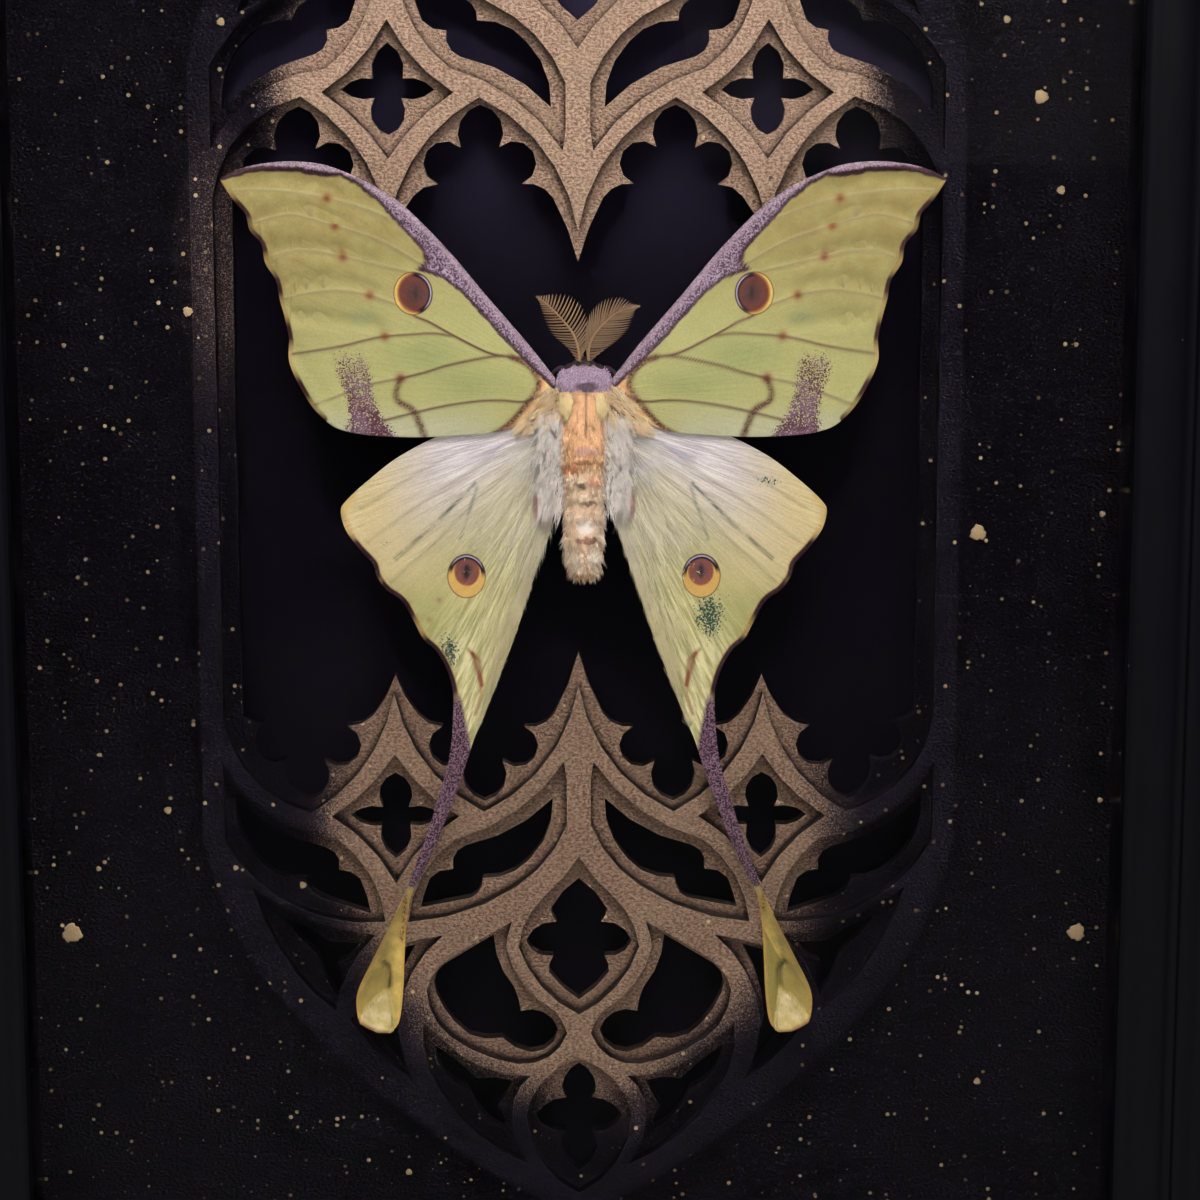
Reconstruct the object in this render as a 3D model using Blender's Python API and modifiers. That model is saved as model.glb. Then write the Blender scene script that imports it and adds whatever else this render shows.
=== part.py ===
"""Framed moth specimen: a spread moon moth in front of two layers of cut tracery, in a deep frame.

The frame stands upright on its bottom rail. X runs to the right, Y away from the viewer and Z up.
The origin is the middle of the whole object's underside. Sizes are in metres; the outlines of the
tracery and of the wings are listed in millimetres, because that is how they were drawn.
"""
import math

import bmesh
import bpy
from mathutils import Matrix, Vector

MM = 0.001
GAP = 0.3 * MM

# The frame: its sight opening, the moulding's width and the wooden rails' front and back planes.
SIGHT_WIDTH = 190.5 * MM
SIGHT_HEIGHT = 342.9 * MM
RAIL_WIDTH = 24.0 * MM
RAIL_BACK = 19.4 * MM
RABBET_WIDTH = 5.0 * MM
LIP_BACK = -13.9 * MM
CENTRE_Z = SIGHT_HEIGHT / 2 + RAIL_WIDTH
MITRE_TRIM = 0.22 * MM

# The front moulding from the sight edge outwards: (distance outwards, Y), in millimetres.
MOULDING = (
    (0.0, -16.9), (1.2, -17.8), (4.6, -17.6), (7.6, -18.9), (8.7, -20.4), (9.5, -20.4), (10.1, -19.6),
    (12.3, -20.6), (13.2, -21.3), (14.0, -21.3), (14.7, -20.6), (17.6, -20.6), (20.6, -19.0),
    (22.8, -16.2), (24.0, -12.0),
)

# The stack inside the rabbet, as the front plane and the thickness of each layer.
FILL_MARGIN = 4.6 * MM
GLASS_FRONT, GLASS_THICKNESS = -13.6 * MM, 2.0 * MM
BARS_FRONT, BARS_THICKNESS = -1.5 * MM, 2.7 * MM
MAT_FRONT, MAT_THICKNESS = 1.5 * MM, 3.0 * MM
BACKGROUND_FRONT, BACKGROUND_THICKNESS = 9.5 * MM, 2.5 * MM
BACKING_FRONT, BACKING_THICKNESS = 12.3 * MM, 3.0 * MM
SPACER_INSET = 0.9 * MM
SPACER_WIDTH = 3.6 * MM

# What holds the backing in, and what the frame hangs from.
TAB_SIZE = (9.0 * MM, 0.5 * MM, 14.0 * MM)
TAB_HEIGHTS = (-110.0 * MM, 0.0, 110.0 * MM)
HANGER_HALF_LENGTH, HANGER_HEIGHT, HANGER_THICKNESS = 24.0, 9.0, 0.8
HANGER_TEETH, HANGER_TOOTH_DEPTH, HANGER_PLAIN_END = 12, 1.6, 6.0
NAIL_TIP_RADIUS, NAIL_HEAD_RADIUS, NAIL_HEIGHT, NAIL_INSET = 0.7 * MM, 1.6 * MM, 0.5 * MM, 3.0
NAIL_SIDES = 10

# The tracery and the moth sit a little right of the middle of the sight opening.
TRACERY_X = 1.3 * MM
MOTH_X = 2.25 * MM
MOTH_FRONT = -6.5 * MM
HINDWING_STEP = 1.2 * MM
WING_THICKNESS = 0.4 * MM
WING_COLUMNS = 3
FOREWING_CAMBER, HINDWING_CAMBER = 0.8 * MM, 0.5 * MM
CAMBER_FADE_WIDTH = 12.0
WELD = 0.01 * MM

# Outlines: how far a chord may leave its arc, and the bow below which an edge is straight.
ARC_TOLERANCE = 0.17
STRAIGHT_BOW = 0.05

# Tracery outlines. Each corner is (across, up, bow): its place in millimetres from the tracery's
# centre, and how far the edge to the next corner bows out of the opening (negative: into it).
# Corners run anticlockwise in the upper right quarter; the other quarters are mirror images.
BAR_BORDER = ((66.5, 0.0, 0.0), (66.5, 68.0, 3.5), (46.1, 104.8, 2.6), (0.0, 138.3, 0.0))
BAR_MAIN = (
    (62.6, 0.0, 0.0), (62.7, 45.5, 3.6), (47.3, 62.7, 2.9), (32.5, 41.2, 3.1), (16.8, 62.6, 3.5),
    (0.0, 39.9, 0.0),
)
MAT_MAIN = (
    (59.8, 0.0, 0.0), (59.6, 45.6, 0.3), (55.8, 47.0, 3.9), (52.0, 53.6, 1.9), (47.9, 61.0, 2.1),
    (45.1, 53.8, 4.6), (41.0, 47.6, 0.6), (36.3, 45.6, 0.4), (32.4, 38.4, 0.4), (28.5, 45.6, 0.6),
    (24.2, 47.7, 4.6), (20.2, 54.0, 1.9), (16.8, 61.3, 2.1), (13.5, 54.1, 4.5), (9.6, 47.8, 0.9),
    (4.3, 45.4, 0.4), (0.0, 34.4, 0.0),
)
# Openings that cross the centre line: the right half only, from the lower to the upper point.
BAR_MIDDLE = (
    ((0.0, 70.7, -0.4), (5.9, 77.8, 1.0), (10.8, 87.4, 1.7), (0.0, 100.0, 0.0)),
    ((0.0, 108.1, 2.1), (9.6, 119.0, 2.4), (0.0, 133.6, 0.0)),
)
MAT_MIDDLE = (
    ((0.0, 75.5, 0.5), (5.1, 81.2, 0.2), (4.0, 83.6, 1.2), (9.5, 87.1, 1.1), (4.6, 89.9, 0.3),
     (5.4, 92.9, 0.4), (0.0, 98.1, 0.0)),
    ((0.0, 109.9, 0.7), (3.1, 114.3, 0.2), (2.3, 116.5, 0.9), (7.9, 119.8, 1.1), (2.4, 122.9, 0.3),
     (3.3, 125.9, 0.6), (0.0, 130.4, 0.0)),
)
# Whole openings of one quarter: lozenge, inner leaf, outer leaf, kidney, and three slots that lie
# between the border and the loops.
BAR_QUARTER = (
    ((32.5, 52.1, -0.9), (43.8, 63.4, -1.2), (32.5, 75.7, -1.2), (21.2, 63.4, -0.9)),
    ((2.6, 53.5, -2.2), (21.9, 67.5, 1.9), (30.5, 82.8, 1.4), (11.0, 76.2, 1.1), (2.1, 65.0, 0.0),
     (2.1, 57.0, 0.0)),
    ((62.9, 53.6, 0.0), (62.8, 67.8, 0.9), (53.3, 78.2, 1.7), (34.5, 82.7, 1.9), (42.9, 67.4, -3.2)),
    ((11.9, 82.7, 0.1), (23.0, 89.3, 0.8), (27.3, 95.5, 1.1), (22.9, 104.2, 0.8), (11.0, 109.2, 1.9),
     (2.1, 103.5, 0.2), (4.2, 99.3, -1.6), (13.0, 87.5, -0.2)),
    ((58.1, 76.4, 0.8), (50.3, 92.5, 0.3), (43.6, 99.2, -0.2), (41.1, 91.8, -0.4), (36.3, 85.1, -1.7)),
    ((24.2, 85.2, 0.2), (33.0, 87.2, 1.2), (41.0, 101.0, 0.8), (29.8, 112.3, -0.7),
     (32.5, 100.5, -1.7)),
    ((28.0, 101.3, 1.3), (24.8, 114.4, 1.8), (9.0, 128.1, -0.9), (12.0, 118.5, -1.0),
     (8.7, 111.5, -1.1), (21.3, 107.5, 0.0)),
)
MAT_QUARTER = (
    ((32.6, 56.1, 1.7), (34.9, 62.4, 0.8), (40.6, 63.8, 0.8), (35.2, 65.7, 1.2), (32.6, 71.8, 1.2),
     (30.0, 65.7, 0.8), (24.6, 63.8, 0.8), (30.3, 62.4, 1.7)),
    ((4.6, 60.8, -1.4), (20.2, 69.4, 1.0), (22.5, 73.8, 0.6), (26.7, 75.5, 0.1), (28.4, 80.9, 0.0),
     (19.3, 79.1, 0.7), (17.2, 75.5, 1.1), (8.8, 72.0, 1.3)),
    ((61.1, 60.4, 1.6), (56.4, 72.8, 1.0), (48.8, 75.6, 0.6), (46.0, 79.1, 0.0), (37.2, 82.0, 0.2),
     (39.1, 75.5, 0.5), (42.9, 73.9, 1.0), (45.0, 69.8, -1.5)),
    ((15.3, 85.9, 0.0), (24.3, 91.4, 1.0), (25.7, 96.8, 0.7), (19.8, 104.6, 0.5), (13.8, 105.2, 0.5),
     (8.7, 108.0, 1.3), (3.7, 103.7, 1.7), (10.5, 100.2, 0.2), (11.6, 95.8, -0.9)),
    ((53.0, 82.6, 0.4), (46.9, 89.5, 0.6), (43.4, 97.4, 0.9), (43.4, 91.0, 0.7), (39.3, 87.4, 0.0),
     (44.8, 87.1, 0.5)),
    ((29.3, 87.7, 0.1), (34.3, 89.3, 0.6), (37.2, 95.6, 1.2), (38.6, 101.3, 0.4), (30.2, 111.5, -0.3),
     (33.4, 101.0, -0.9)),
    ((26.2, 106.4, 1.6), (20.3, 114.8, 1.0), (13.5, 122.7, 0.7), (14.8, 118.1, 0.2), (12.0, 113.3, 0.5),
     (18.4, 112.9, 0.3)),
)

# Wing ribs for the right-hand wings, in millimetres from the moth's axis and the tracery's centre:
# leading edge (across, up), trailing edge (across, up), and how far the leading edge turns forward
# while the trailing edge turns back.
FOREWING_RIBS = (
    (4.9, 15.0, 4.9, 9.4, 0.0), (9.6, 21.0, 10.1, 7.6, 0.0), (16.5, 29.0, 14.3, 5.9, 0.0),
    (23.2, 37.0, 20.5, 5.2, 0.0), (30.0, 43.9, 26.3, 4.9, 0.0), (34.0, 46.8, 32.0, 4.9, 0.0),
    (37.0, 48.5, 37.0, 5.2, 0.0), (39.5, 49.7, 40.5, 5.8, 0.0), (41.5, 50.5, 43.5, 7.0, 0.0),
    (43.5, 51.2, 46.5, 10.0, 0.0), (45.5, 51.6, 48.8, 13.8, 0.0), (47.3, 51.8, 50.5, 18.0, 0.0),
    (49.0, 51.9, 50.4, 21.6, 0.0), (50.6, 51.9, 51.1, 25.5, 0.0), (52.2, 51.8, 51.9, 28.5, 0.0),
    (53.8, 51.6, 52.5, 31.7, 0.0), (55.3, 51.4, 54.3, 34.8, 0.0), (56.7, 51.1, 54.8, 37.8, 0.0),
    (58.0, 50.7, 56.8, 40.3, 0.0), (59.3, 50.2, 57.3, 42.8, 0.0), (60.5, 49.6, 59.6, 45.5, 0.0),
    (61.6, 48.9, 61.4, 48.4, 0.0),
)
HINDWING_RIBS = (
    (8.0, 9.5, 4.9, 4.6, 0.0), (17.0, 8.0, 4.9, 0.5, 0.0), (24.5, 5.2, 5.0, -4.0, 0.0),
    (31.8, 1.4, 5.3, -8.8, 0.0), (37.3, -2.8, 6.2, -12.9, 0.0), (41.2, -6.4, 7.4, -16.0, 0.0),
    (42.1, -8.2, 8.2, -18.4, 0.0), (41.4, -11.2, 8.9, -20.5, 0.0), (39.3, -14.4, 9.7, -23.0, 0.0),
    (36.7, -17.3, 10.5, -25.5, 0.0), (36.0, -19.6, 11.3, -28.0, 0.0), (34.3, -22.0, 12.1, -30.3, 0.0),
    (31.8, -23.8, 13.0, -32.8, 0.0), (29.9, -27.0, 13.9, -35.0, 0.0), (28.0, -30.7, 15.0, -38.0, 0.0),
    (25.8, -32.8, 16.0, -40.6, 0.0), (24.0, -36.1, 17.0, -43.0, 0.0), (22.9, -40.0, 18.2, -46.0, 0.0),
    (23.0, -45.0, 19.4, -48.8, 0.0), (23.4, -50.0, 20.4, -52.0, 0.2), (24.3, -54.5, 21.7, -56.0, 0.3),
    (26.0, -60.0, 23.6, -61.0, 0.4), (28.0, -66.5, 26.0, -67.3, 0.5), (30.3, -72.5, 28.6, -73.0, 0.6),
    (31.8, -76.5, 30.6, -77.0, 0.8), (34.4, -82.0, 31.6, -82.5, 1.4), (37.2, -87.5, 32.0, -88.0, 2.0),
    (39.6, -92.5, 32.4, -93.5, 2.2), (39.9, -97.0, 33.0, -98.0, 1.8), (37.8, -100.4, 34.0, -101.0, 1.2),
)

# The moth's body, turned about its long axis: (distance from the axis, up), in millimetres, tail to
# head. It is a little flatter from front to back than it is wide.
BODY_PROFILE = (
    (0.0, -20.6), (1.7, -20.0), (2.7, -17.8), (3.2, -14.0), (3.2, -9.6), (3.6, -9.0), (3.6, -4.4),
    (4.0, -3.6), (4.0, 0.6), (4.4, 2.4), (4.5, 8.0), (4.5, 13.6), (3.4, 16.0), (2.3, 17.0),
    (2.0, 18.2), (0.0, 18.8),
)
BODY_STEPS = 12
BODY_FLATNESS = 0.93
BODY_Y = -6.0 * MM
LEG_RADIUS = 0.35 * MM
# Each right leg's joints as (across, Y, up) in millimetres; the left legs mirror them.
LEGS = (
    ((1.4, -4.4, 14.5), (3.9, -4.6, 18.6), (6.2, -4.2, 16.6), (7.4, -3.6, 13.4)),
    ((2.0, -3.4, 9.5), (7.0, -3.3, 7.6), (8.2, -3.1, 1.6), (6.8, -2.9, -3.4)),
    ((2.0, -3.4, 4.5), (5.6, -3.3, -0.4), (6.4, -3.1, -7.6), (5.0, -2.9, -12.6)),
)

# Right antenna as (across, up) in millimetres from base to tip: its rib, and the two edges that the
# tips of its barbs reach. Point for point, the three lines say which way the barbs run.
ANTENNA_RIB = ((1.3, 19.4), (1.8, 22.4), (3.2, 24.6), (5.1, 26.3), (7.1, 27.4), (8.6, 27.9), (9.8, 28.1))
ANTENNA_LOWER = ((1.7, 19.5), (3.8, 21.1), (6.3, 22.0), (7.8, 23.8), (8.8, 25.6), (9.4, 27.0), (10.1, 28.0))
ANTENNA_UPPER = ((0.9, 19.6), (0.5, 24.6), (1.6, 27.3), (3.9, 29.1), (6.4, 29.6), (8.4, 29.0), (10.0, 28.3))
ANTENNA_BARBS = 12
ANTENNA_GAP_DEPTH = 0.3
ANTENNA_Y = -7.2 * MM
ANTENNA_THICKNESS = 0.35 * MM

PIN_RADIUS, PIN_SIDES = 0.5 * MM, 8
PIN_Z = CENTRE_Z + 5.0 * MM
PIN_FRONT = -1.5 * MM


def clear_scene():
    """Removes every object that the file opened with."""
    for item in list(bpy.data.objects):
        bpy.data.objects.remove(item, do_unlink=True)


def new_collection(name):
    """A collection of its own in the scene, for the parts or for the cutters."""
    collection = bpy.data.collections.new(name)
    bpy.context.scene.collection.children.link(collection)
    return collection


def finish(name, colour, roughness, metallic=0.0):
    """A plain material with the part's colour, roughness and metallic value."""
    material = bpy.data.materials.new(name)
    material.use_nodes = True
    shader = material.node_tree.nodes["Principled BSDF"]
    shader.inputs["Base Color"].default_value = (*colour, 1.0)
    shader.inputs["Roughness"].default_value = roughness
    shader.inputs["Metallic"].default_value = metallic
    return material


def add_object(name, data, material, collection):
    """An object for this mesh or curve, with its material, in its collection."""
    item = bpy.data.objects.new(name, data)
    data.materials.append(material)
    collection.objects.link(item)
    return item


def mesh_from(name, bm, smooth=False):
    """Closes a bmesh into a mesh with its faces pointing out, shaded smooth where it is round."""
    bm.normal_update()
    bmesh.ops.recalc_face_normals(bm, faces=bm.faces)
    for face in bm.faces:
        face.smooth = smooth and len(face.verts) <= 4
    mesh = bpy.data.meshes.new(name)
    bm.to_mesh(mesh)
    bm.free()
    return mesh


def box(name, low, high, material, collection):
    """A plain board or strip between two opposite corners."""
    bm = bmesh.new()
    bmesh.ops.create_cube(bm, size=1.0)
    size = Vector(high) - Vector(low)
    middle = (Vector(high) + Vector(low)) / 2
    bmesh.ops.scale(bm, vec=size, verts=bm.verts)
    bmesh.ops.translate(bm, vec=middle, verts=bm.verts)
    return add_object(name, mesh_from(name, bm), material, collection)


def arc_points(start, end, bow):
    """Points from start up to, not including, end, along an arc that bows to the right by bow."""
    (x0, y0), (x1, y1) = start, end
    chord = math.hypot(x1 - x0, y1 - y0)
    if abs(bow) < STRAIGHT_BOW:
        return [start]
    half = chord / 2
    radius = (half * half + bow * bow) / (2 * abs(bow))
    sweep = 4 * math.atan2(abs(bow), half)
    step = 2 * math.acos(1 - ARC_TOLERANCE / radius)
    count = max(2, math.ceil(sweep / step))
    side = 1.0 if bow > 0 else -1.0
    along = ((x1 - x0) / chord, (y1 - y0) / chord)
    outward = (along[1] * side, -along[0] * side)
    points = []
    for index in range(count):
        angle = sweep * (index / count - 0.5)
        run = half + radius * math.sin(angle)
        rise = radius * math.cos(angle) - (radius - abs(bow))
        points.append((x0 + along[0] * run + outward[0] * rise, y0 + along[1] * run + outward[1] * rise))
    points[0] = start
    return points


def open_path(corners):
    """The polyline through these corners, with each edge's bow, last corner included."""
    points = []
    for (x0, y0, bow), (x1, y1, _) in zip(corners, corners[1:]):
        points += arc_points((x0, y0), (x1, y1), bow)
    points.append(corners[-1][:2])
    return points


def closed_path(corners):
    """The closed polyline through these corners."""
    return open_path(tuple(corners) + (corners[0],))[:-1]


def mirrored(points, across, up):
    """The same outline mirrored in the centre lines, where across or up is -1."""
    return [(x * across, y * up) for x, y in points]


def half_to_whole(corners):
    """A whole outline from its right half, whose first and last corners are on the centre line."""
    right = open_path(corners)
    left = [(-x, y) for x, y in right[-2:0:-1]]
    return right + left


def quarter_to_whole(corners):
    """A whole outline round the centre, from its upper right quarter."""
    quarter = open_path(corners)
    top = quarter + [(-x, y) for x, y in quarter[-2::-1]]
    bottom = [(x, -y) for x, y in top[-2:0:-1]]
    return top + bottom


def tracery_openings(main, middle, quarter):
    """Every opening of one tracery layer: the main one, those on the axis and those of the quarters."""
    outlines = [quarter_to_whole(main)]
    for corners in middle:
        whole = half_to_whole(corners)
        outlines += [whole, mirrored(whole, 1, -1)]
    for corners in quarter:
        path = closed_path(corners)
        outlines += [mirrored(path, across, up) for across in (1, -1) for up in (1, -1)]
    return outlines


def flat_plate(name, outlines, place, thickness, material, collection):
    """A standing plate cut to these outlines, given in millimetres; the first is its outer edge."""
    curve = bpy.data.curves.new(name, "CURVE")
    curve.dimensions = "2D"
    curve.fill_mode = "BOTH"
    curve.extrude = thickness / 2
    for points in outlines:
        spline = curve.splines.new("POLY")
        spline.points.add(len(points) - 1)
        for point, (x, y) in zip(spline.points, points):
            point.co = (x * MM, y * MM, 0.0, 1.0)
        spline.use_cyclic_u = True
    plate = add_object(name, curve, material, collection)
    plate.location = place
    plate.rotation_euler = (math.pi / 2, 0.0, 0.0)
    return plate


def mitred_rail(name, across, up, material, collection):
    """One rail of the frame: the moulding's section swept between two mitres.

    across and up say which side it is on: (1, 0) is the right rail, (0, -1) the bottom one.
    """
    section = [(out * MM, y * MM) for out, y in MOULDING]
    section += [(RAIL_WIDTH, RAIL_BACK), (RABBET_WIDTH, RAIL_BACK), (RABBET_WIDTH, LIP_BACK), (0.0, LIP_BACK)]
    bm = bmesh.new()
    start = bm.faces.new([bm.verts.new((out, y, -1.0)) for out, y in section])
    swept = bmesh.ops.extrude_face_region(bm, geom=[start])
    ends = [item for item in swept["geom"] if isinstance(item, bmesh.types.BMVert)]
    bmesh.ops.translate(bm, vec=(0.0, 0.0, 2.0), verts=ends)
    for vert in bm.verts:
        out, y, end = vert.co
        if across:
            x = across * (SIGHT_WIDTH / 2 + out)
            z = end * (SIGHT_HEIGHT / 2 + out - MITRE_TRIM)
        else:
            x = end * (SIGHT_WIDTH / 2 + out - MITRE_TRIM)
            z = up * (SIGHT_HEIGHT / 2 + out)
        vert.co = (x, y, z + CENTRE_Z)
    return add_object(name, mesh_from(name, bm), material, collection)


def spacer_frame(prefix, front, back, material, collection):
    """Four butted strips just inside the rabbet, between two planes."""
    inner_x, inner_z = SIGHT_WIDTH / 2 + SPACER_INSET, SIGHT_HEIGHT / 2 + SPACER_INSET
    outer_x, outer_z = inner_x + SPACER_WIDTH, inner_z + SPACER_WIDTH
    for side, word in ((-1, "left"), (1, "right")):
        low_x, high_x = sorted((side * inner_x, side * outer_x))
        low = (low_x, front, CENTRE_Z - inner_z + GAP)
        high = (high_x, back, CENTRE_Z + inner_z - GAP)
        box(f"{prefix}_{word}", low, high, material, collection)
    for side, word in ((-1, "bottom"), (1, "top")):
        low_z, high_z = sorted((CENTRE_Z + side * inner_z, CENTRE_Z + side * outer_z))
        box(f"{prefix}_{word}", (-outer_x, front, low_z), (outer_x, back, high_z), material, collection)


def full_board(name, front, thickness, material, collection):
    """A board that fills the rabbet."""
    half_x, half_z = SIGHT_WIDTH / 2 + FILL_MARGIN, SIGHT_HEIGHT / 2 + FILL_MARGIN
    low = (-half_x, front, CENTRE_Z - half_z)
    high = (half_x, front + thickness, CENTRE_Z + half_z)
    return box(name, low, high, material, collection)


def build_case(parts, finishes):
    """The rails, the glass, the spacers and the boards behind the tracery."""
    for word, across, up in (("left", -1, 0), ("right", 1, 0), ("top", 0, 1), ("bottom", 0, -1)):
        mitred_rail(f"rail_{word}", across, up, finishes["moulding"], parts)
    full_board("glass_pane", GLASS_FRONT, GLASS_THICKNESS, finishes["glass"], parts)
    glass_back = GLASS_FRONT + GLASS_THICKNESS
    spacer_frame("front_spacer", glass_back + GAP, MAT_FRONT - GAP, finishes["spacer"], parts)
    mat_back = MAT_FRONT + MAT_THICKNESS
    spacer_frame("rear_spacer", mat_back + GAP, BACKGROUND_FRONT - GAP, finishes["spacer"], parts)
    full_board("background_board", BACKGROUND_FRONT, BACKGROUND_THICKNESS, finishes["background"], parts)
    full_board("backing_board", BACKING_FRONT, BACKING_THICKNESS, finishes["backing"], parts)


def build_tracery(parts, finishes):
    """The mat with its foiled openings, and the layer of bars in front of it."""
    half_x, half_z = (SIGHT_WIDTH / 2 + FILL_MARGIN) / MM, (SIGHT_HEIGHT / 2 + FILL_MARGIN) / MM
    shift = TRACERY_X / MM
    left, right = -half_x - shift, half_x - shift
    edge = [(right, -half_z), (right, half_z), (left, half_z), (left, -half_z)]
    mat = [edge] + tracery_openings(MAT_MAIN, MAT_MIDDLE, MAT_QUARTER)
    place = Vector((TRACERY_X, MAT_FRONT + MAT_THICKNESS / 2, CENTRE_Z))
    flat_plate("mat_board", mat, place, MAT_THICKNESS, finishes["mat"], parts)
    bars = [quarter_to_whole(BAR_BORDER)] + tracery_openings(BAR_MAIN, BAR_MIDDLE, BAR_QUARTER)
    place = Vector((TRACERY_X, BARS_FRONT + BARS_THICKNESS / 2, CENTRE_Z))
    flat_plate("bar_tracery", bars, place, BARS_THICKNESS, finishes["bars"], parts)


def build_tabs(parts, finishes):
    """The retaining tabs behind the backing board, three at each side."""
    tab_front = BACKING_FRONT + BACKING_THICKNESS + GAP
    tab_outer = SIGHT_WIDTH / 2 + RABBET_WIDTH - GAP
    for side, word in ((-1, "left"), (1, "right")):
        for number, height in enumerate(TAB_HEIGHTS, start=1):
            low_x, high_x = sorted((side * tab_outer, side * (tab_outer - TAB_SIZE[0])))
            low = (low_x, tab_front, CENTRE_Z + height - TAB_SIZE[2] / 2)
            high = (high_x, tab_front + TAB_SIZE[1], CENTRE_Z + height + TAB_SIZE[2] / 2)
            box(f"retaining_tab_{word}_{number}", low, high, finishes["steel"], parts)


def build_hanger(parts, finishes):
    """The sawtooth hanger on the back of the top rail, with a nail against each of its ends."""
    end, top = HANGER_HALF_LENGTH, HANGER_HEIGHT / 2
    outline = [(end, -top), (end, top), (-end, top), (-end, -top)]
    toothed = end - HANGER_PLAIN_END
    pitch = 2 * toothed / HANGER_TEETH
    for tooth in range(HANGER_TEETH):
        left = -toothed + tooth * pitch
        outline += [(left, -top), (left + pitch / 2, -top + HANGER_TOOTH_DEPTH)]
    outline.append((toothed, -top))
    thickness = HANGER_THICKNESS * MM
    middle_y = RAIL_BACK + GAP + thickness / 2
    middle_z = CENTRE_Z + SIGHT_HEIGHT / 2 + (RABBET_WIDTH + RAIL_WIDTH) / 2
    flat_plate("sawtooth_hanger", [outline], (0.0, middle_y, middle_z), thickness, finishes["brass"], parts)

    nail_y = middle_y + thickness / 2 + GAP + NAIL_HEIGHT / 2
    for side, word in ((-1, "left"), (1, "right")):
        name = f"hanger_nail_{word}"
        bm = bmesh.new()
        bmesh.ops.create_cone(
            bm, cap_ends=True, segments=NAIL_SIDES, radius1=NAIL_HEAD_RADIUS, radius2=NAIL_TIP_RADIUS,
            depth=NAIL_HEIGHT, matrix=Matrix.Rotation(math.radians(-90), 4, "X"),
        )
        bmesh.ops.translate(bm, vec=(side * (end - NAIL_INSET) * MM, nail_y, middle_z), verts=bm.verts)
        add_object(name, mesh_from(name, bm, smooth=True), finishes["steel"], parts)


def wing(name, ribs, side, rib_y, camber, material, collection):
    """A thin wing: a grid whose rows are straight ribs, bowed forward between them, with a thickness."""
    bm = bmesh.new()
    bmesh.ops.create_grid(bm, x_segments=WING_COLUMNS, y_segments=len(ribs) - 1, size=0.5)
    bm.verts.ensure_lookup_table()
    for row, (lead_x, lead_z, trail_x, trail_z, turn) in enumerate(ribs):
        width = math.hypot(trail_x - lead_x, trail_z - lead_z)
        fade = min(1.0, width / CAMBER_FADE_WIDTH)
        for column in range(WING_COLUMNS + 1):
            share = column / WING_COLUMNS
            x = lead_x + (trail_x - lead_x) * share
            z = lead_z + (trail_z - lead_z) * share
            y = rib_y - camber * fade * math.sin(math.pi * share) - turn * MM * (1 - 2 * share)
            place = (MOTH_X + side * x * MM, y, CENTRE_Z + z * MM)
            bm.verts[row * (WING_COLUMNS + 1) + column].co = place
    for face in bm.faces:
        face.smooth = True
    mesh = bpy.data.meshes.new(name)
    bm.to_mesh(mesh)
    bm.free()
    sheet = add_object(name, mesh, material, collection)
    solid = sheet.modifiers.new("thickness", "SOLIDIFY")
    solid.thickness = WING_THICKNESS
    solid.offset = 0.0
    return sheet


def turned_body(name, material, collection):
    """The head, thorax and abdomen as one turned, slightly flattened solid."""
    profile = [(radius * MM, 0.0, height * MM) for radius, height in reversed(BODY_PROFILE)]
    edges = [(index, index + 1) for index in range(len(profile) - 1)]
    mesh = bpy.data.meshes.new(name)
    mesh.from_pydata(profile, edges, [])
    body = add_object(name, mesh, material, collection)
    body.location = (MOTH_X, BODY_Y, CENTRE_Z)
    body.scale = (1.0, BODY_FLATNESS, 1.0)
    screw = body.modifiers.new("turned", "SCREW")
    screw.steps = screw.render_steps = BODY_STEPS
    screw.use_merge_vertices = True
    screw.merge_threshold = WELD
    return body


def leg_cutter(name, joints, side, collection):
    """One leg as a closed tube mesh, to be joined to the body."""
    curve = bpy.data.curves.new(name, "CURVE")
    curve.dimensions = "3D"
    curve.bevel_depth = LEG_RADIUS
    curve.bevel_resolution = 0
    curve.use_fill_caps = True
    spline = curve.splines.new("POLY")
    spline.points.add(len(joints) - 1)
    for point, (x, y, z) in zip(spline.points, joints):
        point.co = (MOTH_X + side * x * MM, y * MM, CENTRE_Z + z * MM, 1.0)
    temporary = bpy.data.objects.new(name, curve)
    collection.objects.link(temporary)
    graph = bpy.context.evaluated_depsgraph_get()
    mesh = bpy.data.meshes.new_from_object(temporary.evaluated_get(graph))
    bpy.data.objects.remove(temporary, do_unlink=True)
    bm = bmesh.new()
    bm.from_mesh(mesh)
    bmesh.ops.remove_doubles(bm, verts=bm.verts, dist=WELD)
    bmesh.ops.recalc_face_normals(bm, faces=bm.faces)
    bm.to_mesh(mesh)
    bm.free()
    leg = bpy.data.objects.new(name, mesh)
    collection.objects.link(leg)
    leg.hide_render = True
    leg.display_type = "WIRE"
    return leg


def along(points, share):
    """The point at this share of a line, counted in its points."""
    place = min(share * (len(points) - 1), len(points) - 1.0001)
    index = int(place)
    (x0, z0), (x1, z1) = points[index], points[index + 1]
    return x0 + (x1 - x0) * (place - index), z0 + (z1 - z0) * (place - index)


def comb_edge(edge):
    """One toothed edge of the antenna from base to tip: a gap near the rib, then a barb's flat tip."""
    points = []
    for barb in range(ANTENNA_BARBS):
        for offset, depth in ((0.05, ANTENNA_GAP_DEPTH), (0.3, 1.0), (0.75, 1.0)):
            share = (barb + offset) / ANTENNA_BARBS
            (x0, z0), (x1, z1) = along(ANTENNA_RIB, share), along(edge, share)
            points.append((x0 + (x1 - x0) * depth, z0 + (z1 - z0) * depth))
    return points


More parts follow.
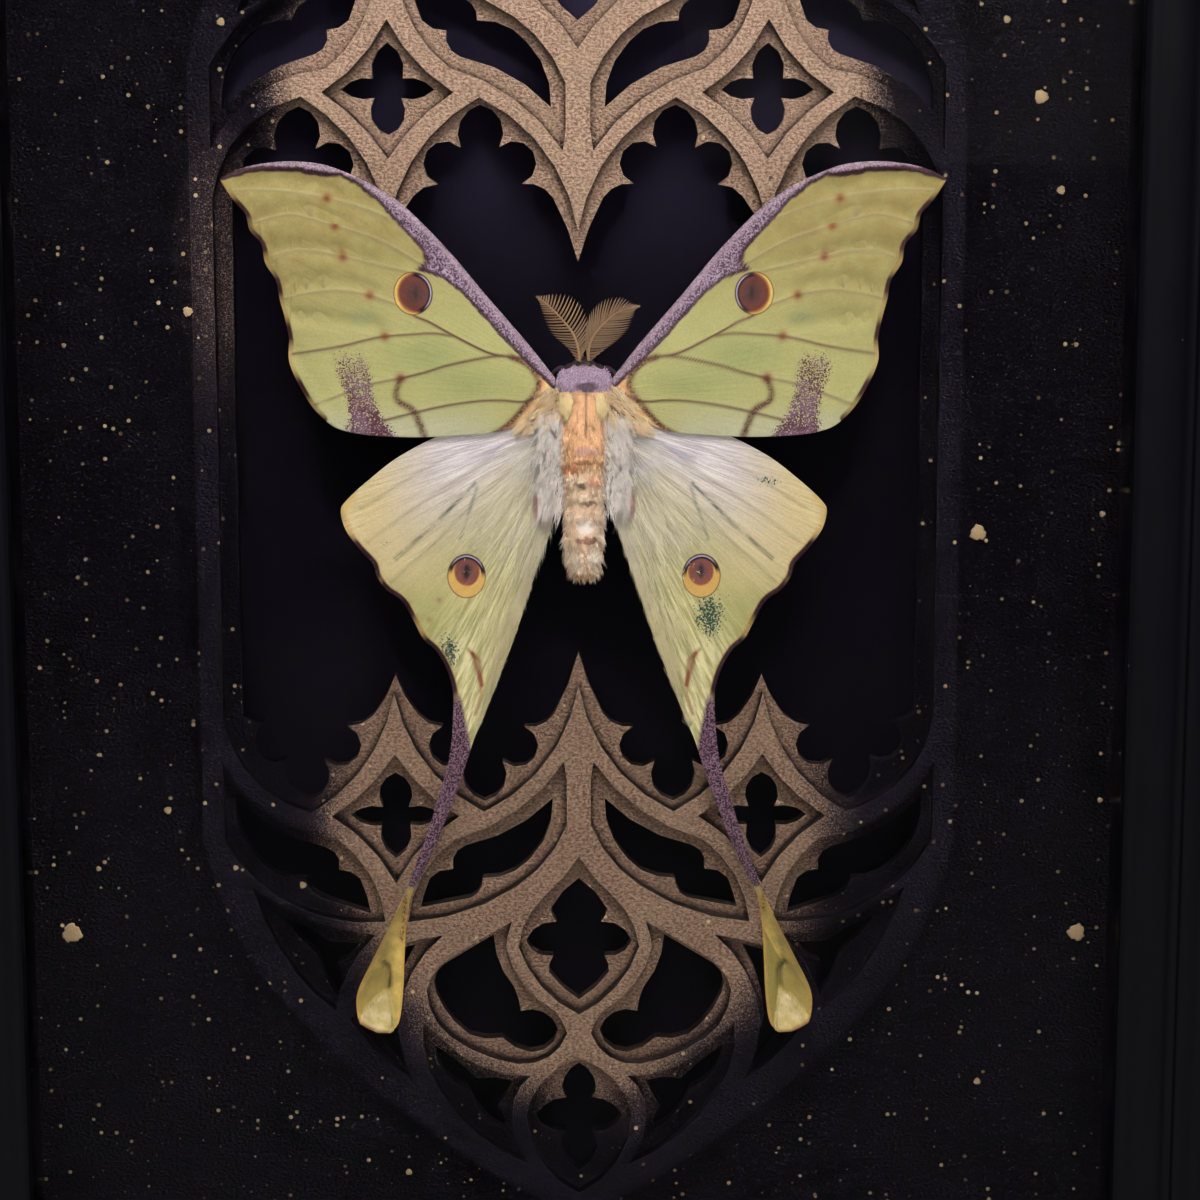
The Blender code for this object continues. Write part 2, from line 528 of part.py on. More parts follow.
def build_antenna(name, side, material, collection):
    """A flat comb antenna cut to its toothed outline."""
    lower, upper = comb_edge(ANTENNA_LOWER), comb_edge(ANTENNA_UPPER)
    outline = [(side * x, z) for x, z in lower + upper[::-1]]
    return flat_plate(name, [outline], (MOTH_X, ANTENNA_Y, CENTRE_Z), ANTENNA_THICKNESS, material, collection)


def build_moth(parts, cutters, finishes):
    """The moth: body with its legs, four wings, two antennae, and the pin that holds it off the board."""
    body = turned_body("moth_body", finishes["fur"], parts)
    for side in (1, -1):
        for number, joints in enumerate(LEGS, start=1):
            leg = leg_cutter(f"leg_{'right' if side > 0 else 'left'}_{number}", joints, side, cutters)
            union = body.modifiers.new(leg.name, "BOOLEAN")
            union.operation = "UNION"
            union.object = leg
    hindwing_y = MOTH_FRONT + HINDWING_STEP
    for side, word in ((1, "right"), (-1, "left")):
        wing(f"forewing_{word}", FOREWING_RIBS, side, MOTH_FRONT, FOREWING_CAMBER, finishes["wing"], parts)
        wing(f"hindwing_{word}", HINDWING_RIBS, side, hindwing_y, HINDWING_CAMBER, finishes["wing"], parts)
        build_antenna(f"antenna_{word}", side, finishes["antenna"], parts)
    pin_back = BACKGROUND_FRONT - GAP
    bm = bmesh.new()
    bmesh.ops.create_cone(
        bm, cap_ends=True, segments=PIN_SIDES, radius1=PIN_RADIUS, radius2=PIN_RADIUS,
        depth=pin_back - PIN_FRONT, matrix=Matrix.Rotation(math.radians(90), 4, "X"),
    )
    bmesh.ops.translate(bm, vec=(MOTH_X, (pin_back + PIN_FRONT) / 2, PIN_Z), verts=bm.verts)
    add_object("mounting_pin", mesh_from("mounting_pin", bm, smooth=True), finishes["steel"], parts)


def main():
    """Builds the framed moth in its own collection."""
    clear_scene()
    parts = new_collection("framed_moth_specimen")
    cutters = new_collection("cutters")
    finishes = {
        "moulding": finish("moulding", (0.012, 0.011, 0.014), 0.32),
        "glass": finish("glass", (0.9, 0.92, 0.92), 0.02),
        "spacer": finish("spacer", (0.01, 0.01, 0.013), 0.12),
        "mat": finish("mat", (0.016, 0.014, 0.02), 0.8),
        "bars": finish("bars", (0.27, 0.2, 0.12), 0.6, 0.25),
        "background": finish("background", (0.006, 0.007, 0.012), 0.45),
        "backing": finish("backing", (0.32, 0.22, 0.13), 0.85),
        "steel": finish("steel", (0.45, 0.45, 0.46), 0.35, 1.0),
        "brass": finish("brass", (0.55, 0.4, 0.16), 0.35, 1.0),
        "wing": finish("wing", (0.5, 0.52, 0.19), 0.75),
        "fur": finish("fur", (0.75, 0.6, 0.42), 0.95),
        "antenna": finish("antenna", (0.4, 0.3, 0.16), 0.8),
    }
    build_case(parts, finishes)
    build_tracery(parts, finishes)
    build_tabs(parts, finishes)
    build_hanger(parts, finishes)
    build_moth(parts, cutters, finishes)


main()
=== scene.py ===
"""Looks of a framed moth specimen: a spread moon moth over layered, gold-sprayed tracery in a dark case."""
import logging
import math
from dataclasses import dataclass
from enum import Enum

import bpy
import numpy as np
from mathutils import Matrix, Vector


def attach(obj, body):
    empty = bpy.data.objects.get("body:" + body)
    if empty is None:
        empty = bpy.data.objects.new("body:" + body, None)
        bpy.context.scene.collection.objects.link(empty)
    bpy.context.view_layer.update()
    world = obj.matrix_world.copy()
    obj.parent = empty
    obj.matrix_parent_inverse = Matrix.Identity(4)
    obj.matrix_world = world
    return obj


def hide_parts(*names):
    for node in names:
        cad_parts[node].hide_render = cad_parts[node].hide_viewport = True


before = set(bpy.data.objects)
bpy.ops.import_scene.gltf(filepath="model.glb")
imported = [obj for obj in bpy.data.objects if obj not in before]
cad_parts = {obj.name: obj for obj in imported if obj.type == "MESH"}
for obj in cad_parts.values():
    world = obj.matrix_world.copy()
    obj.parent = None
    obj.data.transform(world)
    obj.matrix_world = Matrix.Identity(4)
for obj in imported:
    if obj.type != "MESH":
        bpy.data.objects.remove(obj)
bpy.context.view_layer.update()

LOG = logging.getLogger("framed_moth")
Array = np.ndarray
Socket = bpy.types.NodeSocket
MM = 0.001

# Heights are counted from the middle of the sight opening, and the moth and the tracery each have
# an upright axis of their own, a little right of the middle.
CENTRE_Z = 0.19545
MOTH_X = 0.00225
TRACERY_X = 0.0013


class Side(Enum):
    """The two sides of the moth, as the sign of X."""

    LEFT = -1
    RIGHT = 1

    @property
    def word(self) -> str:
        """The side's name in a piece's name."""
        return self.name.lower()


# Shapes worked out as arrays.


def smooth_line(points: Array, count: int) -> Array:
    """Catmull-Rom curve through all the points, read at equal steps of its parameter.

    Args:
        points: the points to pass through, one row each.
        count: how many points to read.

    Returns:
        The points of the curve, one row each.
    """
    points = np.asarray(points, float)
    place = np.linspace(0, len(points) - 1, count)
    index = np.minimum(place.astype(int), len(points) - 2)
    t = (place - index)[:, None]
    before = points[np.maximum(index - 1, 0)]
    start, end = points[index], points[index + 1]
    after = points[np.minimum(index + 2, len(points) - 1)]
    return 0.5 * (2 * start + (end - before) * t + (2 * before - 5 * start + 4 * end - after) * t**2
                  + (3 * start - before - 3 * end + after) * t**3)


def smoothstep(low: float, high: float, value: Array) -> Array:
    """Smooth rise from 0 at low to 1 at high: 3t^2 - 2t^3 of the clamped share t."""
    t = np.clip((value - low) / (high - low), 0, 1)
    return t * t * (3 - 2 * t)


def bell(distance: Array, width: float) -> Array:
    """Bell curve of a distance: exp(-(d / width)^2)."""
    return np.exp(-(distance / width) ** 2)


def distance_to_line(points: Array, line: Array) -> Array:
    """Distance from each point to the nearest of a line's segments.

    Args:
        points: flat positions, one row each.
        line: the line's points, one row each.

    Returns:
        One distance for each position.
    """
    points = np.asarray(points, np.float32)
    line = np.asarray(line, np.float32)
    nearest = np.full(len(points), np.inf, np.float32)
    for start, end in zip(line[:-1], line[1:]):
        run = end - start
        share = np.clip((points - start) @ run / max(float(run @ run), 1e-9), 0, 1)
        gap = points - start - share[:, None] * run
        nearest = np.minimum(nearest, np.einsum("ij,ij->i", gap, gap))
    return np.sqrt(nearest)


def soft_ridge(points: Array, line: Array, width: float) -> Array:
    """A smooth ridge along a line: the sum of bells at 40 places on it, about 1 along its crest."""
    line = smooth_line(line, 40)
    spacing = np.linalg.norm(np.diff(line, axis=0), axis=1).mean()
    total = sum(bell(np.hypot(points[:, 0] - x, points[:, 1] - y), width) for x, y in line)
    return total * spacing / (width * math.sqrt(math.pi))


def inside(points: Array, corners: Array) -> Array:
    """Whether each flat position lies within a closed outline, by counting the edges to its right."""
    x, y = points[:, 0], points[:, 1]
    within = np.zeros(len(points), bool)
    for (x0, y0), (x1, y1) in zip(corners, np.roll(corners, -1, axis=0)):
        crosses = (y0 > y) != (y1 > y)
        if y0 != y1:
            within ^= crosses & (x < (x1 - x0) * (y - y0) / (y1 - y0) + x0)
    return within


def ripples(points: Array, length: float, seed: int) -> Array:
    """Smooth waves between about -1 and 1: a sum of seven sines with seeded directions and phases."""
    chance = np.random.default_rng(seed)
    total = np.zeros(len(points))
    for _ in range(7):
        angle, phase = chance.uniform(0, 2 * math.pi, 2)
        pitch = length * chance.uniform(0.6, 1.6)
        run = points[:, 0] * math.cos(angle) + points[:, 1] * math.sin(angle)
        total += np.sin(2 * math.pi * run / pitch + phase)
    return total / 3.5


def grid_faces(rows: int, columns: int, wrap: bool = False, first: int = 0) -> Array:
    """Quads of a grid whose points are numbered row by row.

    Args:
        rows: how many rows of points.
        columns: how many points in a row.
        wrap: whether the last column joins the first.
        first: the number of the grid's first point.

    Returns:
        Four point numbers for each quad.
    """
    row = np.arange(rows - 1)[:, None]
    column = np.arange(columns if wrap else columns - 1)[None, :]
    after = (column + 1) % columns
    corners = (row * columns + column, row * columns + after, (row + 1) * columns + after, (row + 1) * columns + column)
    return first + np.stack(np.broadcast_arrays(*corners), axis=-1).reshape(-1, 4)


@dataclass
class Surface:
    """Points and faces of one closed surface, in metres."""

    points: Array
    faces: list

    def joined(self, other: "Surface") -> "Surface":
        """This surface and another as one set of points and faces."""
        moved = [tuple(int(n) + len(self.points) for n in face) for face in other.faces]
        return Surface(np.vstack([self.points, other.points]), list(self.faces) + moved)


def tube(path: Array, radii: Array, sides: int = 10, flatness: float = 1.0) -> Surface:
    """A round section carried along a path: centre + radius * (cos u * across + sin u * up).

    Args:
        path: the path's points in metres.
        radii: the radius at each point.
        sides: how many sides the section has.
        flatness: the section's depth over its width.

    Returns:
        The closed tube, with a flat cap at each end.
    """
    along = np.gradient(path, axis=0)
    along /= np.linalg.norm(along, axis=1, keepdims=True)
    guide = np.tile([0.0, 1.0, 0.0], (len(path), 1))
    across = np.cross(along, guide)
    across /= np.maximum(np.linalg.norm(across, axis=1, keepdims=True), 1e-9)
    up = np.cross(across, along)
    angle = np.linspace(0, 2 * math.pi, sides, endpoint=False)
    ring = np.cos(angle)[None, :, None] * across[:, None, :] + flatness * np.sin(angle)[None, :, None] * up[:, None, :]
    points = (path[:, None, :] + np.asarray(radii)[:, None, None] * ring).reshape(-1, 3)
    faces = [tuple(face) for face in grid_faces(len(path), sides, wrap=True)[:, ::-1].tolist()]
    faces.append(tuple(range(sides)))
    faces.append(tuple(range(len(points) - 1, len(points) - sides - 1, -1)))
    return Surface(points, faces)


def strands(roots: Array, reach: Array, bend: Array, width: Array, rings: int = 3, sides: int = 3,
            power: float = 0.6) -> Surface:
    """Many tapered hairs at once: root + reach * t + bend * t^2, with radius width/2 * (1 - t)^power.

    Args:
        roots: where each hair starts, in metres.
        reach: each hair's straight run from root to tip.
        bend: what is added to the run towards the tip.
        width: each hair's width at its root.
        rings: how many rings of points each hair has below its tip.
        sides: how many sides a ring has.
        power: how late the taper comes; a low power keeps a hair thick for longer.

    Returns:
        All the hairs as closed surfaces in one set.
    """
    count = len(roots)
    share = np.arange(rings) / rings
    line = roots[:, None, :] + reach[:, None, :] * share[None, :, None] + bend[:, None, :] * share[None, :, None] ** 2
    along = reach / np.linalg.norm(reach, axis=1, keepdims=True)
    across = np.cross(along, [0.0, 1.0, 0.0])
    across /= np.maximum(np.linalg.norm(across, axis=1, keepdims=True), 1e-9)
    up = np.cross(across, along)
    angle = np.linspace(0, 2 * math.pi, sides, endpoint=False)
    ring = np.cos(angle)[None, :, None] * across[:, None, :] + np.sin(angle)[None, :, None] * up[:, None, :]
    radius = 0.5 * width[:, None] * (1 - share[None, :]) ** power
    body = line[:, :, None, :] + radius[:, :, None, None] * ring[:, None, :, :]
    tips = roots + reach + bend
    points = np.concatenate([body.reshape(count, -1, 3), tips[:, None, :]], axis=1)
    step = rings * sides + 1
    walls = grid_faces(rings, sides, wrap=True)[:, ::-1]
    top = (rings - 1) * sides
    turn = np.arange(sides)
    points_end = np.stack([top + (turn + 1) % sides, top + turn, np.full(sides, step - 1)], axis=1)
    first = (np.arange(count) * step)[:, None, None]
    faces = (walls[None] + first).reshape(-1, 4).tolist()
    faces += (points_end[None] + first).reshape(-1, 3).tolist()
    faces += (np.arange(sides)[None] + first[:, 0]).tolist()
    return Surface(points.reshape(-1, 3), faces)


@dataclass
class Hair:
    """Hairs grown in tufts, with the tone of each hair and the run from root to tip stored on its points."""

    chance: np.random.Generator
    per: int = 6
    root_spread: float = 0.3
    tip_spread: float = 0.12
    width: tuple = (0.08, 0.14)
    surface: Surface | None = None
    tone: Array | None = None
    along: Array | None = None

    def grow(self, roots: Array, reach: Array, bend: Array) -> "Hair":
        """Adds a tuft at each root.

        Args:
            roots: where the tufts start, in millimetres about the middle of the sight opening.
            reach: each tuft's straight run in millimetres.
            bend: what is added towards the tip in millimetres.

        Returns:
            Itself, for chaining.
        """
        draw = self.chance
        count = len(roots) * self.per
        start = np.repeat(roots, self.per, axis=0) + draw.normal(0, self.root_spread, (count, 3)) * [1, 0.3, 1]
        end = np.repeat(roots + reach, self.per, axis=0) + draw.normal(0, self.tip_spread, (count, 3)) * [1, 0.6, 1]
        run = (end - start) * draw.uniform(0.7, 1.06, count)[:, None]
        width = draw.uniform(*self.width, count) * MM
        grown = strands((start + [0, 0, CENTRE_Z / MM]) * MM, run * MM, np.repeat(bend, self.per, axis=0) * MM, width)
        tone = np.clip(np.repeat(draw.random(len(roots)), self.per) * 0.55 + draw.random(count) * 0.45, 0, 1)
        tone = np.repeat(tone, 10)
        along = np.tile(np.append(np.repeat(np.arange(3) / 3, 3), 1.0), count)
        joined = self.surface is not None
        self.surface = self.surface.joined(grown) if joined else grown
        self.tone = np.concatenate([self.tone, tone]) if joined else tone
        self.along = np.concatenate([self.along, along]) if joined else along
        return self

    def values(self) -> dict:
        """The stored values by name."""
        return {"tone": self.tone, "along": self.along}


def ball(centre: tuple, radii: tuple, rows: int = 14, columns: int = 20) -> Surface:
    """A rounded lump: centre + radii * (sin v cos u, sin v sin u, cos v), closed by a point at each pole."""
    v = np.linspace(0, math.pi, rows + 2)[1:-1, None]
    u = np.linspace(0, 2 * math.pi, columns, endpoint=False)[None, :]
    shape = np.stack(np.broadcast_arrays(np.sin(v) * np.cos(u), np.sin(v) * np.sin(u), np.cos(v)), axis=-1)
    points = np.vstack([shape.reshape(-1, 3), [[0, 0, 1], [0, 0, -1]]]) * np.array(radii) + np.array(centre)
    faces = [tuple(face) for face in grid_faces(rows, columns, wrap=True)[:, ::-1].tolist()]
    turn = np.arange(columns)
    after = (turn + 1) % columns
    last = (rows - 1) * columns
    faces += [(a, b, rows * columns) for a, b in zip(turn.tolist(), after.tolist())]
    faces += [(last + b, last + a, rows * columns + 1) for a, b in zip(turn.tolist(), after.tolist())]
    return Surface(points, faces)


def add_piece(name: str, shape: Surface, material: bpy.types.Material, replaces: tuple = (),
              values: dict | None = None, sharp: float | None = None) -> bpy.types.Object:
    """Makes one piece of the scene from its surface.

    Args:
        name: the piece's name.
        shape: its points and faces.
        material: its finish.
        replaces: the solids' nodes it stands for.
        values: named values for each point, as numbers or as triples.
        sharp: the angle in degrees above which an edge stays sharp, or None for all smooth.

    Returns:
        The new object.
    """
    mesh = bpy.data.meshes.new(name)
    mesh.from_pydata(shape.points.tolist(), [], shape.faces)
    mesh.materials.append(material)
    mesh.polygons.foreach_set("use_smooth", np.ones(len(mesh.polygons), bool))
    if sharp is not None:
        mesh.set_sharp_from_angle(angle=math.radians(sharp))
    for key, numbers in (values or {}).items():
        numbers = np.asarray(numbers, np.float32)
        kind, field_name = ("FLOAT_VECTOR", "vector") if numbers.ndim == 2 else ("FLOAT", "value")
        mesh.attributes.new(key, kind, "POINT").data.foreach_set(field_name, numbers.ravel())
    mesh.validate()
    piece = bpy.data.objects.new(name, mesh)
    bpy.context.scene.collection.objects.link(piece)
    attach(piece, "root")
    if replaces:
        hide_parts(*replaces)
    LOG.info("%s: %d faces", name, len(mesh.polygons))
    return piece


# Node sheets and shared groups.


def tint(code: str) -> tuple:
    """A display colour such as 'c8a05a' as linear red, green and blue."""
    parts = [int(code[place:place + 2], 16) / 255 for place in (0, 2, 4)]
    return tuple(p / 12.92 if p <= 0.04045 else ((p + 0.055) / 1.055) ** 2.4 for p in parts)


class Sheet:
    """A tree of shader nodes with short calls for the nodes this scene needs."""

    def __init__(self, tree: bpy.types.NodeTree) -> None:
        """Works on this tree."""
        self.tree = tree

    def plug(self, socket: Socket, value: object) -> None:
        """Links a socket to another, or sets its value."""
        if isinstance(value, bpy.types.NodeSocket):
            self.tree.links.new(value, socket)
        elif socket.type == "RGBA":
            socket.default_value = (*value, 1.0)
        else:
            socket.default_value = value

    def node(self, kind: str, inputs: dict, **settings: object) -> bpy.types.Node:
        """Adds a node.

        Args:
            kind: the node's type without its ShaderNode prefix.
            inputs: values or sockets for its inputs, by name or number.
            settings: its own properties.

        Returns:
            The node.
        """
        item = self.tree.nodes.new("ShaderNode" + kind)
        for key, value in settings.items():
            setattr(item, key, value)
        for key, value in inputs.items():
            self.plug(item.inputs[key], value)
        return item

    def math(self, operation: str, a: object, b: object = 0.0, clamp: bool = False) -> Socket:
        """One arithmetic step on two numbers."""
        return self.node("Math", {0: a, 1: b}, operation=operation, use_clamp=clamp).outputs[0]

    def vector(self, operation: str, a: object, b: object = (0.0, 0.0, 0.0)) -> Socket:
        """One arithmetic step on two vectors; LENGTH and DOT_PRODUCT give a number."""
        item = self.node("VectorMath", {0: a, 1: b}, operation=operation)
        return item.outputs["Value" if operation in ("LENGTH", "DOT_PRODUCT", "DISTANCE") else "Vector"]

    def step(self, value: object, low: object, high: object) -> Socket:
        """Smooth rise of a value from 0 at low to 1 at high."""
        item = self.node("MapRange", {0: value, 1: low, 2: high}, interpolation_type="SMOOTHSTEP")
        return item.outputs[0]

    def mix(self, share: object, a: object, b: object, blend: str = "MIX") -> Socket:
        """Blends two colours."""
        item = self.node("Mix", {0: share, 6: a, 7: b}, data_type="RGBA", blend_type=blend)
        return item.outputs[2]

    def noise(self, place: Socket, size_mm: float, detail: float = 2.0, roughness: float = 0.5) -> Socket:
        """Cloudy noise from 0 to 1 with lumps of about this size."""
        inputs = {"Vector": place, "Scale": 1000.0 / size_mm, "Detail": detail, "Roughness": roughness}
        return self.node("TexNoise", inputs).outputs[0]

    def stretched(self, place: Socket, scale: tuple, turn: tuple = (0.0, 0.0, 0.0)) -> Socket:
        """Coordinates turned and then scaled along each axis."""
        item = self.node("Mapping", {"Vector": place, "Rotation": turn, "Scale": scale})
        return item.outputs[0]

    def own_place(self) -> Socket:
        """The surface's own object coordinates."""
        return self.node("TexCoord", {}).outputs["Object"]

    def attribute(self, name: str, output: str = "Fac") -> Socket:
        """A value stored on the piece's points."""
        return self.node("Attribute", {}, attribute_name=name).outputs[output]

    def group(self, name: str, inputs: dict) -> bpy.types.Node:
        """Places a shared group with its own values."""
        item = self.tree.nodes.new("ShaderNodeGroup")
        item.node_tree = bpy.data.node_groups[name]
        for key, value in inputs.items():
            self.plug(item.inputs[key], value)
        return item

    def combed(self, share: float = 0.8) -> Socket:
        """The normal of hair that lies combed flat: its own, leaned towards the front and a little up."""
        own = self.node("NewGeometry", {}).outputs["Normal"]
        lean = self.node("Mix", {0: share, 4: own, 5: (0.0, -0.87, 0.49)}, data_type="VECTOR").outputs[1]
        return self.vector("NORMALIZE", lean)

    def bump(self, height: object, depth_mm: float, strength: float = 1.0, after: Socket | None = None) -> Socket:
        """A normal raised by a height of this depth, on top of another bump if one is given."""
        inputs = {"Height": height, "Distance": depth_mm * MM, "Strength": strength}
        if after is not None:
            inputs["Normal"] = after
        return self.node("Bump", inputs).outputs[0]


def new_group(name: str, inputs: dict, outputs: dict) -> tuple:
    """Starts a shader node group.

    Args:
        name: the group's name.
        inputs: input names and their socket kinds.
        outputs: output names and their socket kinds.

    Returns:
        Its sheet, its input node's sockets and its output node.
    """
    tree = bpy.data.node_groups.new(name, "ShaderNodeTree")
    for label, kind in inputs.items():
        tree.interface.new_socket(name=label, in_out="INPUT", socket_type="NodeSocket" + kind)
    for label, kind in outputs.items():
        tree.interface.new_socket(name=label, in_out="OUTPUT", socket_type="NodeSocket" + kind)
    return Sheet(tree), tree.nodes.new("NodeGroupInput").outputs, tree.nodes.new("NodeGroupOutput")


def build_flecks_group() -> None:
    """Random round dots: one in each chosen cell of a cell pattern, with a random size."""
    sheet, given, out = new_group("flecks", {"Place": "Vector", "Pitch": "Float", "Size": "Float", "Share": "Float"},
                                  {"Mask": "Float", "Tone": "Float"})
    cells = sheet.node("TexVoronoi", {"Vector": given["Place"], "Scale": given["Pitch"]})
    dice = sheet.node("SeparateColor", {0: cells.outputs["Color"]})
    chosen = sheet.math("LESS_THAN", dice.outputs[0], given["Share"])
    radius = sheet.math("MULTIPLY", given["Size"], sheet.math("ADD", 0.35, dice.outputs[1]))
    dot = sheet.math("SUBTRACT", 1.0, sheet.step(cells.outputs["Distance"], sheet.math("MULTIPLY", radius, 0.7), radius))
    sheet.plug(out.inputs["Mask"], sheet.math("MULTIPLY", dot, chosen))
    sheet.plug(out.inputs["Tone"], dice.outputs[2])


def build_spray_group() -> None:
    """Gold overspray: full in the heart of both tracery fields, breaking up into grains at their rims.

    With x and z counted from a field's middle, the reach is ((x / a)^1.7 + (z / b)^1.7)^(1 / 1.7); the
    cover falls from 1 to 0 across a reach of 1, and a fine noise is cut at that level.
    """
    sheet, given, out = new_group("gold_spray", {"Place": "Vector", "Strength": "Float"}, {"Mask": "Float", "Cover": "Float"})
    local = sheet.vector("SUBTRACT", given["Place"], (TRACERY_X, 0.0, CENTRE_Z))
    axes = sheet.node("SeparateXYZ", {0: sheet.vector("MULTIPLY", local, (1000.0, 1000.0, 1000.0))})
    across, up = axes.outputs[0], axes.outputs[2]
    upper = sheet.math("GREATER_THAN", up, 0.0)
    middle = sheet.math("SUBTRACT", sheet.math("MULTIPLY", upper, 119.0), 62.0)
    wide = sheet.math("ADD", 48.0, sheet.math("MULTIPLY", upper, 6.0))
    tall = sheet.math("ADD", 58.0, sheet.math("MULTIPLY", upper, 4.0))
    along = sheet.math("POWER", sheet.math("DIVIDE", sheet.math("ABSOLUTE", across), wide), 1.7)
    rise = sheet.math("ABSOLUTE", sheet.math("SUBTRACT", up, middle))
    rise = sheet.math("POWER", sheet.math("DIVIDE", rise, tall), 1.7)
    reach = sheet.math("POWER", sheet.math("ADD", along, rise), 1.0 / 1.7)
    cloud = sheet.noise(given["Place"], 16.0, 2.0)
    reach = sheet.math("ADD", reach, sheet.math("MULTIPLY", sheet.math("SUBTRACT", cloud, 0.5), 0.22))
    cover = sheet.math("SUBTRACT", 1.0, sheet.step(reach, 0.76, 1.1))
    side = sheet.math("DIVIDE", sheet.math("ADD", across, 62.0), 9.0)
    long = sheet.math("DIVIDE", sheet.math("SUBTRACT", up, 34.0), 32.0)
    away = sheet.math("SQRT", sheet.math("ADD", sheet.math("MULTIPLY", side, side), sheet.math("MULTIPLY", long, long)))
    drift = sheet.math("MULTIPLY", sheet.math("SUBTRACT", 1.0, sheet.step(away, 0.2, 1.1)), 0.22)
    # The lower field gets 0.86 of the cover, so its gold is sparser and darker there.
    lower_cover_share = sheet.math("ADD", 0.86, sheet.math("MULTIPLY", upper, 0.14))
    cover = sheet.math("MULTIPLY", sheet.math("MULTIPLY", cover, lower_cover_share), given["Strength"])
    cover = sheet.math("MAXIMUM", cover, drift)
    grains = sheet.noise(given["Place"], 0.26, 2.0, 0.75)
    level = sheet.math("SUBTRACT", 0.8, sheet.math("MULTIPLY", cover, 0.62))
    mask = sheet.step(grains, sheet.math("SUBTRACT", level, 0.18), sheet.math("ADD", level, 0.18))
    sheet.plug(out.inputs["Mask"], mask)
    sheet.plug(out.inputs["Cover"], cover)


def build_paper_group() -> None:
    """Grain of a sprayed board: lumps that are wider than they are tall, with finer tooth on top."""
    sheet, given, out = new_group("paper_grain", {"Place": "Vector"}, {"Height": "Float", "Fine": "Float"})
    wide = sheet.stretched(given["Place"], (0.78, 1.0, 1.2))
    lumps = sheet.noise(wide, 0.5, 2.0, 0.6)
    fine = sheet.noise(given["Place"], 0.22, 2.0, 0.6)
    height = sheet.math("ADD", sheet.math("MULTIPLY", lumps, 0.8), sheet.math("MULTIPLY", fine, 0.2))
    sheet.plug(out.inputs["Height"], sheet.step(height, 0.36, 0.64))
    sheet.plug(out.inputs["Fine"], fine)


def build_powder_group() -> None:
    """Wing scales: a very fine powder that is drawn out a little along the wing, as value and height."""
    sheet, given, out = new_group("scale_powder", {"Place": "Vector", "Size": "Float"}, {"Value": "Float", "Coarse": "Float"})
    inputs = {"Vector": given["Place"], "Scale": given["Size"], "Detail": 2.0, "Roughness": 0.65}
    fine = sheet.node("TexNoise", inputs).outputs[0]
    coarse = sheet.noise(given["Place"], 2.6, 3.0, 0.55)
    sheet.plug(out.inputs["Value"], fine)
    sheet.plug(out.inputs["Coarse"], coarse)


def build_eye_spot_group() -> None:
    """An eyespot: a ringed disc whose iris is pushed to one side, leaving a pale crescent on the other.

    With p the place within the spot and q its part towards the crescent: the rim is where |p| is near
    1, the iris is |p + 0.2 toward| < 0.74, and the cold arc lies near the rim where q is negative.
    """
    kinds = {"Flat": "Vector", "Centre": "Vector", "Scale": "Vector", "Toward": "Vector", "Shift": "Float",
             "Iris Size": "Float", "Crescent": "Color", "Iris": "Color", "Core": "Color"}
    sheet, given, out = new_group("eye_spot", kinds, {"Colour": "Color", "Mask": "Float"})
    local = sheet.vector("MULTIPLY", sheet.vector("SUBTRACT", given["Flat"], given["Centre"]), given["Scale"])
    reach = sheet.vector("LENGTH", local)
    toward = sheet.vector("DOT_PRODUCT", local, given["Toward"])
    item = sheet.node("VectorMath", {0: given["Toward"], "Scale": given["Shift"]}, operation="SCALE")
    inner = sheet.math("DIVIDE", sheet.vector("LENGTH", sheet.vector("ADD", local, item.outputs[0])), given["Iris Size"])
    colour = sheet.mix(sheet.step(inner, 1.14, 1.0), given["Crescent"], tint("8f5026"))
    colour = sheet.mix(sheet.step(inner, 1.02, 0.9), colour, given["Iris"])
    colour = sheet.mix(sheet.step(inner, 0.7, 0.3), colour, given["Core"])
    slit = sheet.vector("MULTIPLY", sheet.vector("ADD", local, item.outputs[0]), (6.0, 2.6, 1.0))
    colour = sheet.mix(sheet.step(sheet.vector("LENGTH", slit), 1.2, 0.3), colour, tint("2c1c1a"))
    cold = sheet.math("MULTIPLY", sheet.step(toward, -0.35, -0.75), sheet.math("MULTIPLY", sheet.step(reach, 0.85, 0.88), sheet.step(reach, 0.95, 0.92)))
    band = sheet.math("MULTIPLY", sheet.step(toward, 0.05, -0.3), sheet.step(reach, 0.74, 0.8))
    colour = sheet.mix(band, colour, tint("1d0f14"))
    colour = sheet.mix(sheet.math("MULTIPLY", cold, 0.8), colour, tint("b3a9c0"))
    colour = sheet.mix(sheet.step(reach, 0.92, 0.99), colour, tint("5a3326"))
    sheet.plug(out.inputs["Colour"], colour)
    sheet.plug(out.inputs["Mask"], sheet.step(reach, 1.03, 0.97))


# Finishes.


def new_material(name: str, **sockets: object) -> tuple:
    """Starts a material with a Principled shader.

    Args:
        name: the material's name.
        sockets: plain values for the shader's inputs, with underscores for spaces.

    Returns:
        The material, its sheet and its shader.
    """
    material = bpy.data.materials.new(name)
    material.use_nodes = True
    sheet = Sheet(material.node_tree)
    shader = material.node_tree.nodes["Principled BSDF"]
    for key, value in sockets.items():
        sheet.plug(shader.inputs[key.replace("_", " ")], value)
    return material, sheet, shader


